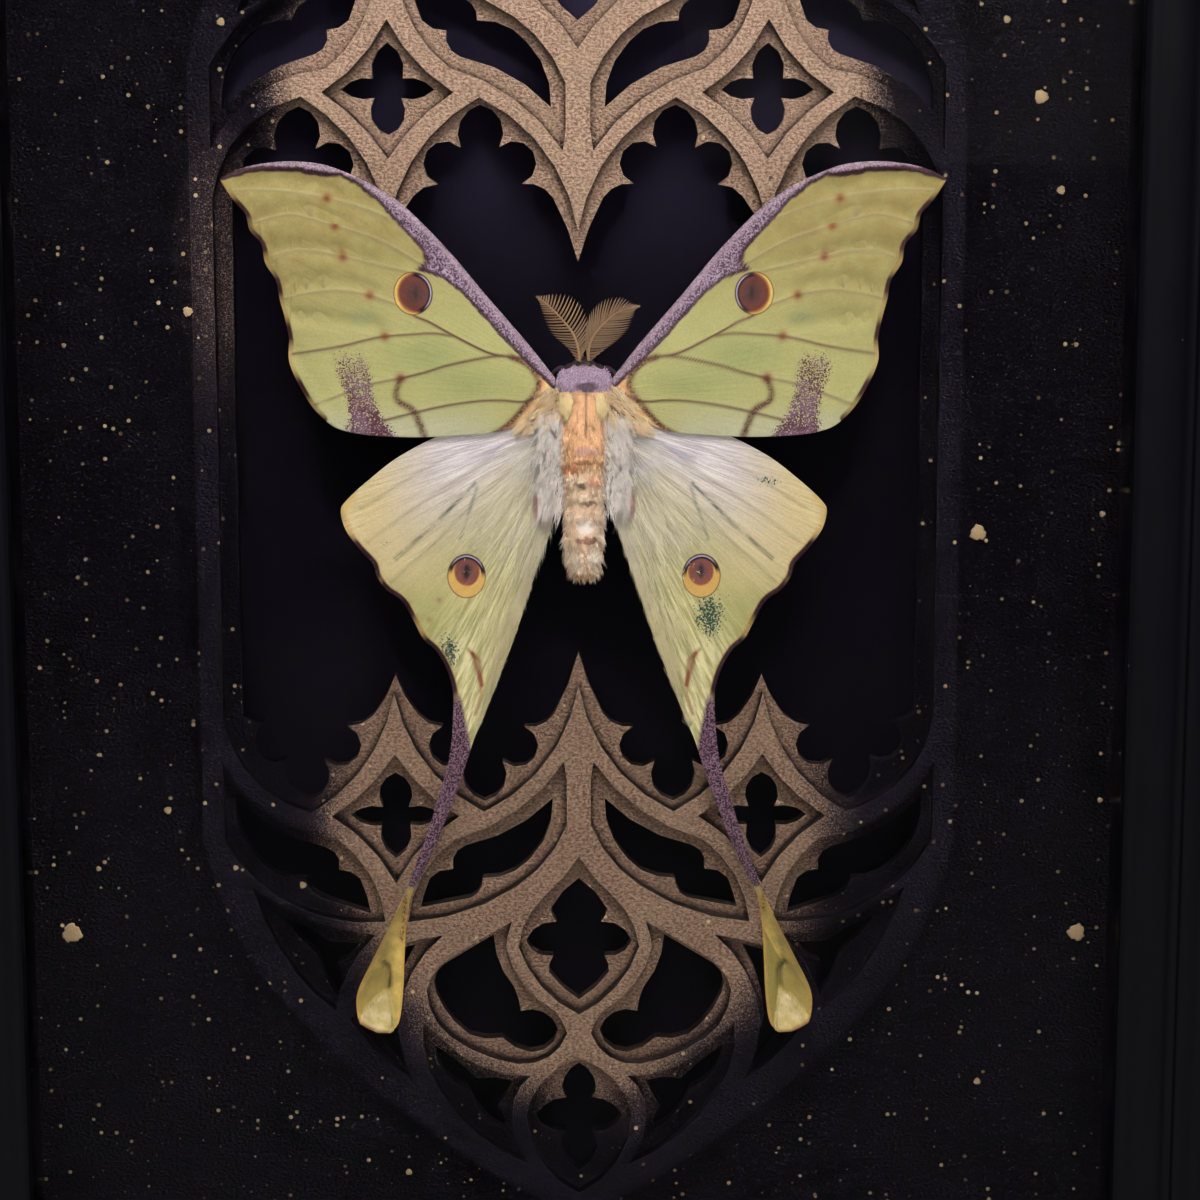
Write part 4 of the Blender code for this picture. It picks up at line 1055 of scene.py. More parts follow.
# Each vein: how brown it is, then its points.
FOREWING_VEINS = (
    (0.28, ((33.1, 42.4), (38.0, 44.2), (43.6, 45.7), (49.3, 46.7), (54.9, 47.1), (59.3, 46.9))),
    (0.35, ((27.6, 34.4), (31.6, 36.9), (35.9, 39.0), (42.3, 41.0), (46.4, 42.2), (50.4, 42.9), (55.9, 41.5))),
    (0.32, ((28.6, 33.0), (32.0, 33.7), (35.1, 34.4), (41.0, 35.8), (45.9, 36.8), (49.5, 36.8), (52.8, 35.8))),
    (0.35, ((31.4, 27.6), (33.9, 28.4), (36.5, 29.3), (41.4, 30.1), (44.2, 30.0), (46.9, 29.6), (51.4, 28.6))),
    (0.85, ((8.2, 18.0), (12.8, 18.8), (16.4, 19.5), (22.0, 22.3), (26.3, 24.7), (28.7, 25.7), (31.4, 27.6))),
    (0.6, ((22.0, 22.3), (25.6, 22.8), (29.7, 22.6), (34.0, 22.3), (37.5, 21.6), (41.6, 20.6), (50.0, 19.2))),
    (0.85, ((7.9, 17.8), (12.8, 18.8), (16.4, 18.7), (23.3, 17.3), (27.2, 16.1), (31.4, 15.1))),
    (0.45, ((31.4, 15.1), (37.2, 13.9), (43.6, 11.5), (48.4, 9.6))),
    (0.6, ((6.7, 12.6), (10.1, 11.1), (14.4, 11.3), (18.7, 11.1), (23.9, 10.3), (28.9, 9.2), (34.4, 7.8))),
)
FOREWING_FOLDS = (
    ((58.2, 46.8), (54.6, 48.4), (49.8, 48.8), (45.6, 47.8), (41.4, 46.2)),
    ((55.7, 41.9), (53.0, 43.5), (48.2, 43.9), (44.5, 43.0), (40.6, 41.5)),
    ((53.4, 37.3), (49.5, 37.8), (44.9, 37.5), (40.7, 36.3), (36.4, 34.9)),
    ((49.6, 30.2), (47.7, 31.5), (43.8, 31.9), (39.5, 31.5), (35.6, 30.1)),
    ((49.7, 25.7), (45.8, 25.4), (40.8, 24.7), (34.9, 24.0)),
)
VEIN_KNOTS = ((43.6, 45.7), (42.3, 41.0), (41.0, 35.8), (36.5, 29.3), (34.0, 22.3), (31.4, 15.1))
POSTMEDIAN = ((41.3, 49.8), (42.9, 48.0), (43.6, 45.7), (42.8, 43.0), (42.3, 41.0), (41.3, 38.1), (41.0, 35.8),
              (39.5, 33.2), (36.5, 29.3), (36.2, 26.7), (34.0, 22.3), (33.0, 19.0), (31.4, 15.1))
POSTMEDIAN_FOOT = ((31.4, 15.1), (32.2, 12.7), (31.8, 11.1), (29.5, 9.7), (28.5, 7.8), (27.5, 5.2))
BASE_LINE = ((12.4, 18.7), (10.4, 17.9), (8.7, 16.4), (7.8, 14.6), (8.2, 12.7), (9.8, 10.6), (11.7, 8.3), (13.7, 6.4), (15.5, 5.4))
BAND_INNER = ((62.0, 48.6), (58.0, 49.8), (54.5, 50.3), (48.1, 50.1), (47.1, 49.7), (43.4, 49.3), (41.3, 49.5),
              (38.6, 48.1), (35.3, 45.4), (33.1, 43.0), (30.4, 40.0), (27.9, 37.4), (27.0, 35.1), (28.6, 33.6),
              (26.2, 32.9), (24.2, 32.2), (21.1, 29.8), (18.1, 26.6), (14.3, 22.3), (10.9, 18.8), (6.2, 14.2), (3.0, 11.0))
RIM_HEIGHTS = (44.0, 38.1, 31.0, 23.0, 13.3, 6.8)


@dataclass
class Forewing(Wing):
    """One forewing with its raised veins, soft folds and rolled front edge."""

    def build(self, material: bpy.types.Material) -> bpy.types.Object:
        """Builds the wing over its node.

        Args:
            material: the forewings' finish.

        Returns:
            The wing's object.
        """
        flat, share, _ = self.grid(FOREWING_RIBS)
        places = flat.reshape(-1, 2)
        shape = flat.shape[:2]
        across, up = places[:, 0], places[:, 1]
        vein, ridge = np.zeros(len(places)), np.zeros(len(places))
        for brown, line in FOREWING_VEINS:
            away = distance_to_line(places, smooth_line(line, 24))
            vein = np.maximum(vein, min(1.0, 1.5 * brown) * bell(away, 0.25))
            ridge = np.maximum(ridge, bell(away, 0.32))
        fold = sum(soft_ridge(places, np.array(line), 1.5) for line in FOREWING_FOLDS)
        edge = distance_to_line(places, self.outline(flat)[::3])
        late = int(0.4 * self.rows)
        termen = distance_to_line(places, flat[late:, -1][::3])
        costa = distance_to_line(places, flat[::3, 0])
        line = np.array(BAND_INNER)
        frame_corners = np.vstack([line, [(-5.0, 30.0), (20.0, 70.0), (70.0, 60.0)]])
        band = np.where(inside(places, frame_corners), 1.0, -1.0) * distance_to_line(places, line)
        band = band + 0.12 * ripples(places, 1.3, 4)
        band_mask = smoothstep(-0.12, 0.12, band)
        patch_middle = np.interp(up, (5.0, 12.5, 20.5), (36.6, 38.6, 40.4))
        patch_half = np.interp(up, (4.5, 9.0, 12.5, 16.0, 20.5), (5.0, 3.0, 2.6, 3.3, 2.8))
        patch = smoothstep(1.25, 0.6, np.abs(across - patch_middle) / patch_half) * smoothstep(21.8, 17.0, up)
        patch *= np.interp(up, (5.0, 13.0, 20.0), (1.15, 0.9, 0.62))
        knots = np.zeros(len(places))
        for knot in VEIN_KNOTS:
            knots = np.maximum(knots, bell(np.hypot(across - knot[0], up - knot[1]), 0.8))
        post = 0.04 * bell(distance_to_line(places, smooth_line(POSTMEDIAN, 60)), 0.35)
        foot = bell(distance_to_line(places, smooth_line(POSTMEDIAN_FOOT, 20)), 0.55) * np.interp(up, (5, 10, 15), (1.0, 0.9, 0.65))
        base_line = bell(distance_to_line(places, smooth_line(BASE_LINE, 30)), 0.5)
        dark = np.clip(1.5 * np.maximum.reduce([post, foot, base_line]), 0, 1)
        root_corners = np.vstack([smooth_line(BASE_LINE, 30), [(16.0, 0.0), (-2.0, 0.0), (-2.0, 16.5)]])
        root = inside(places, root_corners).astype(float)
        rim = np.clip(1.25 * sum(bell(up - height, 2.3) for height in RIM_HEIGHTS), 0, 1)
        green = smoothstep(44.0, 18.0, up + 0.3 * across - 8.0)
        pale = smoothstep(12.0, 5.5, up) * smoothstep(12.0, 20.0, across) * 0.75
        deep = 0.5 * bell(np.hypot((across - 27.0) / 6.0, (up - 19.0) / 3.0), 1.0)
        deep += 0.42 * bell(np.hypot((across - 19.0) / 7.0, (up - 14.0) / 2.6), 1.0)
        teal = 0.6 * bell(np.hypot((across - 37.5) / 2.2, (up - 25.5) / 1.3), 1.0)
        chord = np.repeat(np.linalg.norm(flat[:, -1] - flat[:, 0], axis=1), shape[1])
        depth = self.plane_mm - self.camber_mm * np.minimum(1, chord / 12) * np.sin(math.pi * share.ravel())
        depth -= 0.14 * ridge * smoothstep(0.3, 1.5, edge) + 0.5 * bell(costa - 0.9, 1.0) * band_mask
        depth += 0.6 * fold * smoothstep(0.0, 2.0, edge)
        depth += 0.1 * ripples(places, 9.0, 3) + 0.25 * ripples(places, 6.0, 5) * bell(termen, 2.5)
        spread = np.arctan2(up - 12.0, across)
        flow = np.stack([spread * 45.0, np.hypot(across, up - 12.0) * 0.15, np.zeros(len(places))], axis=1)
        values = {"flat": np.stack([across, up, np.zeros(len(places))], axis=1).reshape(*shape, 3), "flow": flow.reshape(*shape, 3)}
        band_light = bell(costa - 0.5, 0.5) * smoothstep(0.2, 0.8, band)
        for key, numbers in (("vein", vein), ("ridge", ridge), ("knot", knots), ("band", band_mask), ("patch", patch), ("dark_line", dark),
                             ("root", root), ("rim", rim), ("termen", termen), ("green", green), ("pale", pale), ("teal", teal),
                             ("deep_green", deep), ("band_dark", self.band_dark(across, up, band)), ("band_light", band_light)):
            values[key] = numbers.reshape(shape)
        surface = self.closed(flat, depth.reshape(shape))
        node = f"forewing_{self.side.word}"
        return add_piece(f"forewing_scaled_{self.side.word}", surface, material, (node,), self.with_back(values))

    def band_dark(self, across: Array, up: Array, band: Array) -> Array:
        """How dark the front band is: darkest along its inner line, at the branch and at the tip."""
        inner = smoothstep(0.85, 0.4, band)
        branch = bell(np.hypot(across - 28.2, up - 35.2), 2.4)
        tip = smoothstep(40.0, 46.0, across) * smoothstep(1.15, 0.75, band)
        return np.clip(0.9 * inner + 0.7 * branch + 0.95 * tip, 0, 1)


HINDWING_RIBS = np.array([
    (8.0, 9.5, 4.9, 4.6, 0), (17.0, 8.0, 4.9, 0.5, 0), (24.5, 5.2, 5.0, -4.0, 0), (31.8, 1.4, 5.3, -8.8, 0),
    (37.3, -2.8, 6.2, -12.9, 0), (41.2, -6.4, 7.4, -16.0, 0), (42.1, -8.2, 8.2, -18.4, 0), (41.4, -11.2, 8.9, -20.5, 0),
    (39.3, -14.4, 9.7, -23.0, 0), (36.7, -17.3, 10.5, -25.5, 0), (36.0, -19.6, 11.3, -28.0, 0),
    (34.3, -22.0, 12.1, -30.3, 0), (31.8, -23.8, 13.0, -32.8, 0), (29.9, -27.0, 13.9, -35.0, 0),
    (28.0, -30.7, 15.0, -38.0, 0), (25.8, -32.8, 16.0, -40.6, 0), (24.0, -36.1, 17.0, -43.0, 0),
    (22.9, -40.0, 18.2, -46.0, 0), (23.0, -45.0, 19.4, -48.8, 0), (23.4, -50.0, 20.4, -52.0, 0.2),
    (24.3, -54.5, 21.7, -56.0, 0.3), (26.0, -60.0, 23.6, -61.0, 0.4), (28.0, -66.5, 26.0, -67.3, 0.5),
    (30.3, -72.5, 28.6, -73.0, 0.6), (31.8, -76.5, 30.6, -77.0, 0.8), (34.4, -82.0, 31.6, -82.5, 1.4),
    (37.2, -87.5, 32.0, -88.0, 2.0), (40.2, -94.0, 32.3, -94.3, 2.0), (40.2, -98.8, 32.8, -99.2, 1.5),
    (39.2, -100.2, 33.5, -101.2, 1.0), (36.9, -101.5, 34.6, -102.1, 0.7)], float)
HINDWING_VEINS = (
    ((8.0, 6.5), (18.0, 4.0), (28.0, -1.0), (38.5, -7.5)),
    ((8.0, 4.5), (18.0, 0.0), (28.0, -6.5), (37.5, -13.5)),
    ((8.0, 2.5), (17.0, -4.5), (25.0, -12.5), (33.5, -20.5)),
    ((7.5, 0.0), (14.0, -9.0), (20.0, -14.5)),
    ((20.0, -23.5), (23.0, -31.0), (23.0, -38.0)),
    ((6.5, -6.0), (12.0, -18.0), (17.5, -31.0), (20.5, -43.0)),
    ((22.0, -43.0), (22.4, -50.3), (24.0, -56.2), (25.6, -62.6), (27.6, -67.7), (29.8, -74.4)),
)
HINDWING_RIM_PLACES = ((38.6, -15.4), (37.0, -17.3), (33.4, -22.6), (31.4, -25.5), (26.6, -32.4), (25.0, -35.0), (23.6, -38.5))


@dataclass
class Hindwing(Wing):
    """One hindwing with its tail and the cupped spoon at the tail's end."""

    rows: int = 330
    columns: int = 140
    plane_mm: float = -5.3
    camber_mm: float = 0.5

    def build(self, material: bpy.types.Material) -> bpy.types.Object:
        """Builds the wing over its node.

        Args:
            material: the hindwings' finish.

        Returns:
            The wing's object.
        """
        flat, share, turn = self.grid(HINDWING_RIBS)
        places = flat.reshape(-1, 2)
        shape = flat.shape[:2]
        across, up = places[:, 0], places[:, 1]
        part = share.ravel()
        vein = np.zeros(len(places))
        for line in HINDWING_VEINS:
            vein = np.maximum(vein, bell(distance_to_line(places, smooth_line(line, 24)), 0.35))
        edge = distance_to_line(places, self.outline(flat)[::3])
        rim = np.clip(1.3 * sum(bell(np.hypot(across - x, up - z), 3.0) for x, z in HINDWING_RIM_PLACES), 0, 1)
        spread = np.arctan2(up - 8.0, across)
        outer = smoothstep(24.0, 40.0, np.hypot(across, up - 4.0)) * smoothstep(-30.0, -12.0, up)
        lilac = smoothstep(-0.8, -0.25, spread) * smoothstep(38.0, 14.0, across) * 0.95
        cream = np.maximum(smoothstep(-0.85, -1.15, spread) * 0.95, 0.5 * smoothstep(30.0, 10.0, across) * smoothstep(-26.0, -10.0, up))
        tail_side = across - np.interp(up, (-52.0, -40.0), (19.6, 21.8))
        tail = smoothstep(-39.5, -42.5, up) * smoothstep(-0.5, 0.3, tail_side)
        spoon = smoothstep(-74.5, -77.5, up + 0.8 * ripples(places, 2.0, 8))
        red = bell(distance_to_line(places, np.array([(19.4, -33.3), (18.6, -36.5), (17.8, -38.8)])), 0.4)
        red += 0.9 * bell(distance_to_line(places, np.array([(20.2, -32.5), (18.2, -34.5), (18.0, -40.5), (19.0, -44.0)])), 0.35)
        grey = bell(distance_to_line(places, np.array([(32.7, -16.5), (26.0, -10.5), (18.8, -3.3)])), 0.3)
        grey += 0.6 * bell(distance_to_line(places, np.array([(21.5, -13.0), (18.5, -4.0)])), 0.3)
        if self.side is Side.LEFT:
            patch = 1.15 * bell(np.hypot((across - 23.6) / 2.4, (up + 33.0) / 3.9), 1.0)
            red += 0.7 * bell(np.hypot(across - 25.2, up + 23.7), 0.5) + 0.5 * bell(np.hypot(across - 26.9, up + 27.2), 0.6)
            patch += 0.6 * bell(np.hypot(across - 34.2, up + 14.0), 1.6)
        else:
            patch = 1.2 * bell(np.hypot((across - 21.9) / 3.0, (up + 26.5) / 4.6), 1.0)
            patch += 0.8 * bell(np.hypot((across - 32.1) / 3.2, (up + 2.8) / 1.2), 1.0)
        chord = np.repeat(np.linalg.norm(flat[:, -1] - flat[:, 0], axis=1), shape[1])
        depth = self.plane_mm - self.camber_mm * np.minimum(1, chord / 12) * np.sin(math.pi * part)
        depth -= np.repeat(turn, shape[1]) * (1 - 2 * part)
        cup = smoothstep(-78.0, -88.0, up) * smoothstep(-101.6, -98.5, up)
        depth += cup * 1.7 * np.sin(math.pi * part)
        flap_line = np.array([(40.3, -99.8), (39.3, -97.7), (37.6, -95.9), (35.2, -94.6), (34.7, -95.3), (34.2, -97.7), (34.0, -101.0)])
        flap = inside(places, np.vstack([flap_line, [(34.0, -104.0), (41.0, -104.0)]])).astype(float)
        flap_rise = flap * smoothstep(0.0, 0.5, distance_to_line(places, flap_line))
        hollow_line = np.array([(35.7, -89.4), (35.0, -90.6), (34.8, -92.0), (34.9, -94.0)])
        # The hollow's mask dips the spoon and also carries painted shade in its colour.
        hollow = bell(distance_to_line(places, smooth_line(hollow_line, 16)), 0.42)
        depth += 1.1 * hollow - 0.9 * flap_rise
        stem_red = (0.2 + 0.8 * ((up > -80.0) | (self.side is Side.LEFT))) * bell(distance_to_line(places, smooth_line(((31.6, -75.5), (31.8, -79.3), (32.0, -81.7), (32.5, -85.5)), 12)), 0.45)
        panel = np.array([(31.8, -83.1), (34.1, -87.7), (35.9, -90.3), (34.7, -91.9), (34.6, -95.2), (33.8, -101.1),
                          (32.4, -99.5), (31.0, -93.6), (31.0, -88.0)])
        lobe = np.array([(35.9, -90.3), (37.2, -90.4), (39.2, -93.2), (41.0, -96.5), (39.6, -98.5), (35.6, -94.9), (34.7, -91.9)])
        olive = 0.55 * inside(places, lobe) + (inside(places, panel) if self.side is Side.RIGHT else 0.0)
        foot = 0.85 * bell(distance_to_line(places, np.array([(40.4, -99.4), (39.0, -100.4), (36.9, -101.6), (35.4, -102.1)])), 0.45)
        depth -= 0.12 * vein * (1 - spoon)
        streaks = ripples(np.stack([spread * 40.0, np.hypot(across, up - 8.0) * 0.12], axis=1), 2.2, 12)
        depth += 0.1 * streaks * (1 - tail) * (1 - spoon) + 0.12 * ripples(places, 9.0, 6)
        termen = distance_to_line(places, flat[int(0.16 * self.rows):int(0.6 * self.rows), 0][::2])
        depth += 0.2 * ripples(places, 4.5, 9) * bell(termen, 1.8) * smoothstep(-44.0, -38.0, up)
        flow = np.stack([spread * 80.0, np.hypot(across, up - 8.0) * 0.14, np.zeros(len(places))], axis=1)
        low = smoothstep(-4.0, -24.0, up)
        values = {"flat": np.stack([across, up, np.zeros(len(places))], axis=1).reshape(*shape, 3), "flow": flow.reshape(*shape, 3)}
        for key, numbers in (("edge", edge), ("vein", vein), ("rim", rim), ("outer", outer), ("lilac", lilac), ("low", low),
                             ("cream", cream), ("tail", tail * (1 - spoon)), ("spoon", spoon), ("spoon_pale", flap), ("red", red),
                             ("hollow", hollow), ("stem_red", stem_red), ("olive", olive), ("foot", foot), ("grey_line", grey), ("patch", patch), ("termen", termen)):
            values[key] = numbers.reshape(shape)
        surface = self.closed(flat, depth.reshape(shape))
        node = f"hindwing_{self.side.word}"
        return add_piece(f"hindwing_scaled_{self.side.word}", surface, material, (node,), self.with_back(values))

    def inner_edge(self, up: Array) -> Array:
        """How far out the wing's inner edge is at these heights, in millimetres."""
        return np.interp(up, (-48, -46, -38, -30, -23, -15, -9, -3, 5), (19.2, 18.0, 15.0, 12.0, 9.7, 7.0, 5.3, 4.9, 4.9))

    def build_hair(self, material: bpy.types.Material, tufts: int = 440) -> bpy.types.Object:
        """The long silky hair over the body side of the hindwing, and the shorter fringe past its edge.

        Each tuft starts on the wing, at a distance from the wing's base along one of its rays, and
        follows that ray.

        Args:
            material: the hair's finish.
            tufts: how many tufts lie on the wing.

        Returns:
            The hair's object.
        """
        chance = np.random.default_rng(21 + self.side.value)
        angle = np.radians(-88 + 62 * chance.random(tufts) ** 1.5)
        limit = np.interp(np.degrees(angle), (-88, -75, -60, -45, -26), (44, 42, 32, 22, 16))
        start = limit * chance.random(tufts) ** 0.9
        across, up = 4.6 + start * np.cos(angle), 8.0 + start * np.sin(angle)
        across = np.maximum(across, self.inner_edge(up) + chance.uniform(0.6, 2.2, tufts))
        length = np.minimum(chance.uniform(4.5, 10.0, tufts), np.maximum(1.2, up + 50.0))
        close = smoothstep(4.0, 1.0, across - self.inner_edge(up)) * smoothstep(0.0, -14.0, up)
        angle = angle + close * (np.radians(-71) - angle)
        ahead = np.cos(angle) * (20.4 - across) + np.sin(angle) * (-19.5 - up)
        beside = np.abs(np.sin(angle) * (20.4 - across) - np.cos(angle) * (-19.5 - up))
        length = np.where((ahead > -4.0) & (beside < 4.4), np.minimum(length, np.maximum(ahead - 4.4, 0.3)), length)
        lean = angle + chance.normal(0, 0.05, tufts)
        sign = self.side.value
        keep = (up + np.sin(lean) * length > -22.0) | (across + np.cos(lean) * length < 20.0)
        roots = np.stack([MOTH_X / MM + sign * across, np.full(tufts, self.plane_mm - 0.35), up], axis=1)
        lift = chance.uniform(0.05, 0.25, tufts)
        reach = np.stack([sign * np.cos(lean) * length, -lift, np.sin(lean) * length], axis=1)
        bend = np.stack([sign * chance.normal(0, 0.25, tufts), 0.5 * lift, np.zeros(tufts)], axis=1)
        hair = Hair(chance, per=5, root_spread=0.28, tip_spread=0.22, width=(0.05, 0.1))
        hair.grow(roots[keep], reach[keep], bend[keep])
        self.grow_fringe(hair)
        return add_piece(f"hindwing_hair_{self.side.word}", hair.surface, material, values=hair.values())

    def grow_fringe(self, hair: Hair, tufts: int = 330) -> None:
        """Adds the shaggy fringe past the wing's inner edge: long near the body, short towards the tail."""
        chance, sign = hair.chance, self.side.value
        up = 5.5 - 51.0 * chance.random(tufts) ** 1.15
        across = self.inner_edge(up) + 0.6
        length = np.interp(up, (-45, -25, -8, 5), (1.5, 2.4, 3.6, 4.2)) * chance.uniform(0.5, 1.25, tufts)
        slant = np.radians(np.interp(up, (-45, -25, -8, 5), (-74, -78, -86, -97)) + chance.normal(0, 7, tufts))
        roots = np.stack([MOTH_X / MM + sign * across, self.plane_mm - 0.3 + chance.normal(0, 0.2, tufts), up], axis=1)
        reach = np.stack([sign * np.cos(slant) * length, chance.normal(0, 0.25, tufts), np.sin(slant) * length], axis=1)
        bend = np.stack([sign * chance.uniform(0.0, 0.5, tufts), np.zeros(tufts), -0.1 * length], axis=1)
        hair.grow(roots, reach, bend)


# Each antenna's rib and the two edges that its barbs reach, base to tip, in the moth's millimetres.
ANTENNA_LINES = {
    Side.LEFT: (
        ((0.7, 17.7), (1.0, 20.3), (2.0, 23.0), (4.2, 25.7), (6.3, 27.8), (8.2, 29.1)),
        ((1.2, 18.1), (2.9, 20.3), (5.3, 22.3), (6.6, 24.3), (7.3, 26.5), (7.7, 28.1), (8.2, 29.0)),
        ((0.4, 18.1), (-0.7, 21.4), (-0.8, 23.8), (-0.4, 26.2), (1.0, 28.4), (2.8, 29.5), (5.3, 29.6), (6.9, 29.3), (8.1, 29.2))),
    Side.RIGHT: (
        ((0.8, 17.7), (0.9, 20.3), (1.7, 22.4), (3.6, 24.6), (6.1, 26.5), (9.7, 27.4)),
        ((1.5, 18.4), (4.4, 20.4), (6.6, 22.1), (8.0, 23.8), (8.7, 25.7), (9.0, 26.8), (9.7, 27.3)),
        ((0.6, 18.9), (0.2, 22.2), (0.8, 25.7), (2.3, 27.8), (4.4, 28.9), (6.9, 28.9), (8.5, 27.8), (9.7, 27.5))),
}


@dataclass
class Antenna:
    """A comb antenna: a tapered rib with two rows of fine curved barbs."""

    side: Side
    barbs: int = 27

    def world(self, flat: Array, depth: Array) -> Array:
        """Flat antenna places and depths in millimetres as metres in the case."""
        depth = np.broadcast_to(np.asarray(depth, float), (len(flat),))
        return np.stack([MOTH_X + self.side.value * flat[:, 0] * MM, depth * MM, CENTRE_Z + flat[:, 1] * MM], axis=1)

    def build(self, material: bpy.types.Material) -> bpy.types.Object:
        """Builds the antenna over its node.

        Args:
            material: the antennae's finish.

        Returns:
            The antenna's object.
        """
        rib, lower, upper = ANTENNA_LINES[self.side]
        plane = -7.4 if self.side is Side.LEFT else -6.9
        whole = tube(self.world(smooth_line(rib, 40), plane - 0.1), np.linspace(0.26, 0.07, 40) * MM, sides=8)
        if self.side is Side.LEFT:
            whole = Surface(whole.points, [tuple(reversed(face)) for face in whole.faces])
        tone, along = [np.full(len(whole.points), 1.0)], [np.full(len(whole.points), 1.0)]
        share = (np.arange(self.barbs) + 0.5) / (self.barbs + 0.2)
        ribs = smooth_line(rib, 200)[(share * 199).astype(int)]
        run = np.gradient(ribs, axis=0)
        run /= np.linalg.norm(run, axis=1, keepdims=True)
        for edge in (lower, upper):
            ends = smooth_line(edge, 200)[(share * 199).astype(int)]
            roots, tips = self.world(ribs, plane), self.world(ends, plane + 0.25)
            span = np.linalg.norm(ends - ribs, axis=1)
            sag = np.stack([self.side.value * run[:, 0] * span, 0.3 * span, run[:, 1] * span], axis=1) * 0.16 * MM
            comb = strands(roots, tips - roots - sag, sag, np.full(self.barbs, 0.42) * MM, rings=6, sides=5, power=0.35)
            whole = whole.joined(comb)
            tone.append(np.repeat(0.55 * np.random.default_rng(3).random(self.barbs), 31))
            along.append(np.tile(np.append(np.repeat(np.arange(6) / 6, 5), 1.0), self.barbs))
        values = {"tone": np.concatenate(tone), "along": np.concatenate(along)}
        return add_piece(f"antenna_comb_{self.side.word}", whole, material, (f"antenna_{self.side.word}",), values)


@dataclass
class Body:
    """The moth's body: a furred, segmented core with shoulder pads, eyes, legs and tufts."""

    depth_mm: float = -6.0
    flatness: float = 0.93
    profile: tuple = ((-20.2, 0.2), (-19.8, 1.2), (-18.6, 2.0), (-17.0, 2.6), (-15.0, 2.95), (-13.0, 3.15), (-9.5, 3.2),
                      (-6.0, 3.3), (-3.0, 3.45), (0.0, 3.6), (1.2, 3.9), (3.0, 4.15), (6.0, 4.2), (10.0, 4.1), (12.2, 4.2),
                      (12.9, 4.6), (14.4, 4.7), (15.6, 4.35), (16.5, 3.6), (17.2, 2.5), (18.0, 1.6), (18.7, 0.3))
    rings: tuple = (1.1, -2.7, -5.6, -9.4, -13.2, -16.2)

    def radius(self, up: Array) -> Array:
        """The core's half width at a height: the profile, pinched a little between the rings."""
        heights, sizes = zip(*self.profile)
        pinch = sum(bell(up - ring + 0.2, 0.5) for ring in self.rings)
        return np.interp(up, heights, sizes) - 0.28 * pinch

    def surface_at(self, up: Array, angle: Array) -> tuple:
        """Points and outward directions of the core.

        Args:
            up: heights in millimetres.
            angle: turn about the long axis; a quarter turn faces the viewer.

        Returns:
            Points in millimetres about the body's axis, and unit directions.
        """
        size = self.radius(up)
        size = size - 0.25 * bell(size * np.cos(angle) - 0.35, 0.5) * (np.sin(angle) > 0) * smoothstep(4.0, 6.0, up) * smoothstep(13.5, 12.0, up)
        points = np.stack([size * np.cos(angle), -self.flatness * size * np.sin(angle), up], axis=-1)
        outward = np.stack([np.cos(angle), -np.sin(angle), np.zeros_like(angle)], axis=-1)
        return points, outward

    def to_world(self, points: Array) -> Array:
        """Body millimetres to metres in the case."""
        return np.array([MOTH_X, self.depth_mm * MM, CENTRE_Z]) + points * MM

    def to_opening(self, points: Array) -> Array:
        """Body millimetres to millimetres about the middle of the sight opening."""
        return points + np.array([MOTH_X / MM, self.depth_mm, 0.0])

    def build_core(self, material: bpy.types.Material) -> bpy.types.Object:
        """The body's core under the fur, over its node.

        Args:
            material: the fur's finish.

        Returns:
            The core's object.
        """
        rows, columns = 150, 72
        up = np.linspace(-20.2, 18.7, rows)[:, None]
        angle = np.linspace(0, 2 * math.pi, columns, endpoint=False)[None, :]
        up, angle = np.broadcast_arrays(up, angle)
        points, _ = self.surface_at(up.ravel(), angle.ravel())
        faces = [tuple(face) for face in grid_faces(rows, columns, wrap=True)[:, ::-1].tolist()]
        faces += [tuple(range(columns)), tuple(range(rows * columns - 1, rows * columns - columns - 1, -1))]
        core = Surface(self.to_world(points), faces)
        return add_piece("moth_body_core", core, material, ("moth_body",), {"tone": np.full(rows * columns, 0.3)})

    def build_fur(self, material: bpy.types.Material, tufts: int = 1500) -> bpy.types.Object:
        """Tufted fur over the core, lying towards the tail and hanging over each ring's lower edge.

        Args:
            material: the fur's finish.
            tufts: how many tufts.

        Returns:
            The fur's object.
        """
        chance = np.random.default_rng(5)
        up = -19.6 + 36.0 * chance.random(tufts)
        ringed = chance.random(tufts) < 0.35
        up = np.where(ringed & (up < 2.0), np.array(self.rings)[chance.integers(0, 6, tufts)] + chance.uniform(0.2, 1.0, tufts), up)
        angle = chance.uniform(-0.5, math.pi + 0.5, tufts)
        points, outward = self.surface_at(up, angle)
        length = np.interp(up, (-19.6, -17, -10, 0, 4, 12.4, 12.9, 17), (1.3, 2.4, 1.9, 2.2, 2.6, 2.2, 0.9, 0.8))
        length = length * chance.uniform(0.75, 1.25, tufts)
        rise = np.interp(up, (-20, 0, 12.5, 13, 17), (0.3, 0.26, 0.2, 0.55, 0.7)) * chance.uniform(0.4, 1.4, tufts)
        rise = np.where(ringed & (up < 2.0), rise * 1.5, rise)
        sideways = chance.normal(0, 0.2, tufts) + 0.12 * np.cos(angle) * (up < 12)
        reach = outward * (rise * 0.55)[:, None] + np.stack([sideways, np.zeros(tufts), np.full(tufts, -1.0)], axis=1)
        reach = reach / np.linalg.norm(reach, axis=1, keepdims=True) * length[:, None]
        bend = -outward * (0.2 * length * rise)[:, None]
        hair = Hair(chance, per=8, root_spread=0.24, tip_spread=0.12, width=(0.07, 0.14))
        hair.grow(self.to_opening(points - outward * 0.1), reach, bend)
        return add_piece("moth_body_fur", hair.surface, material, values=hair.values())

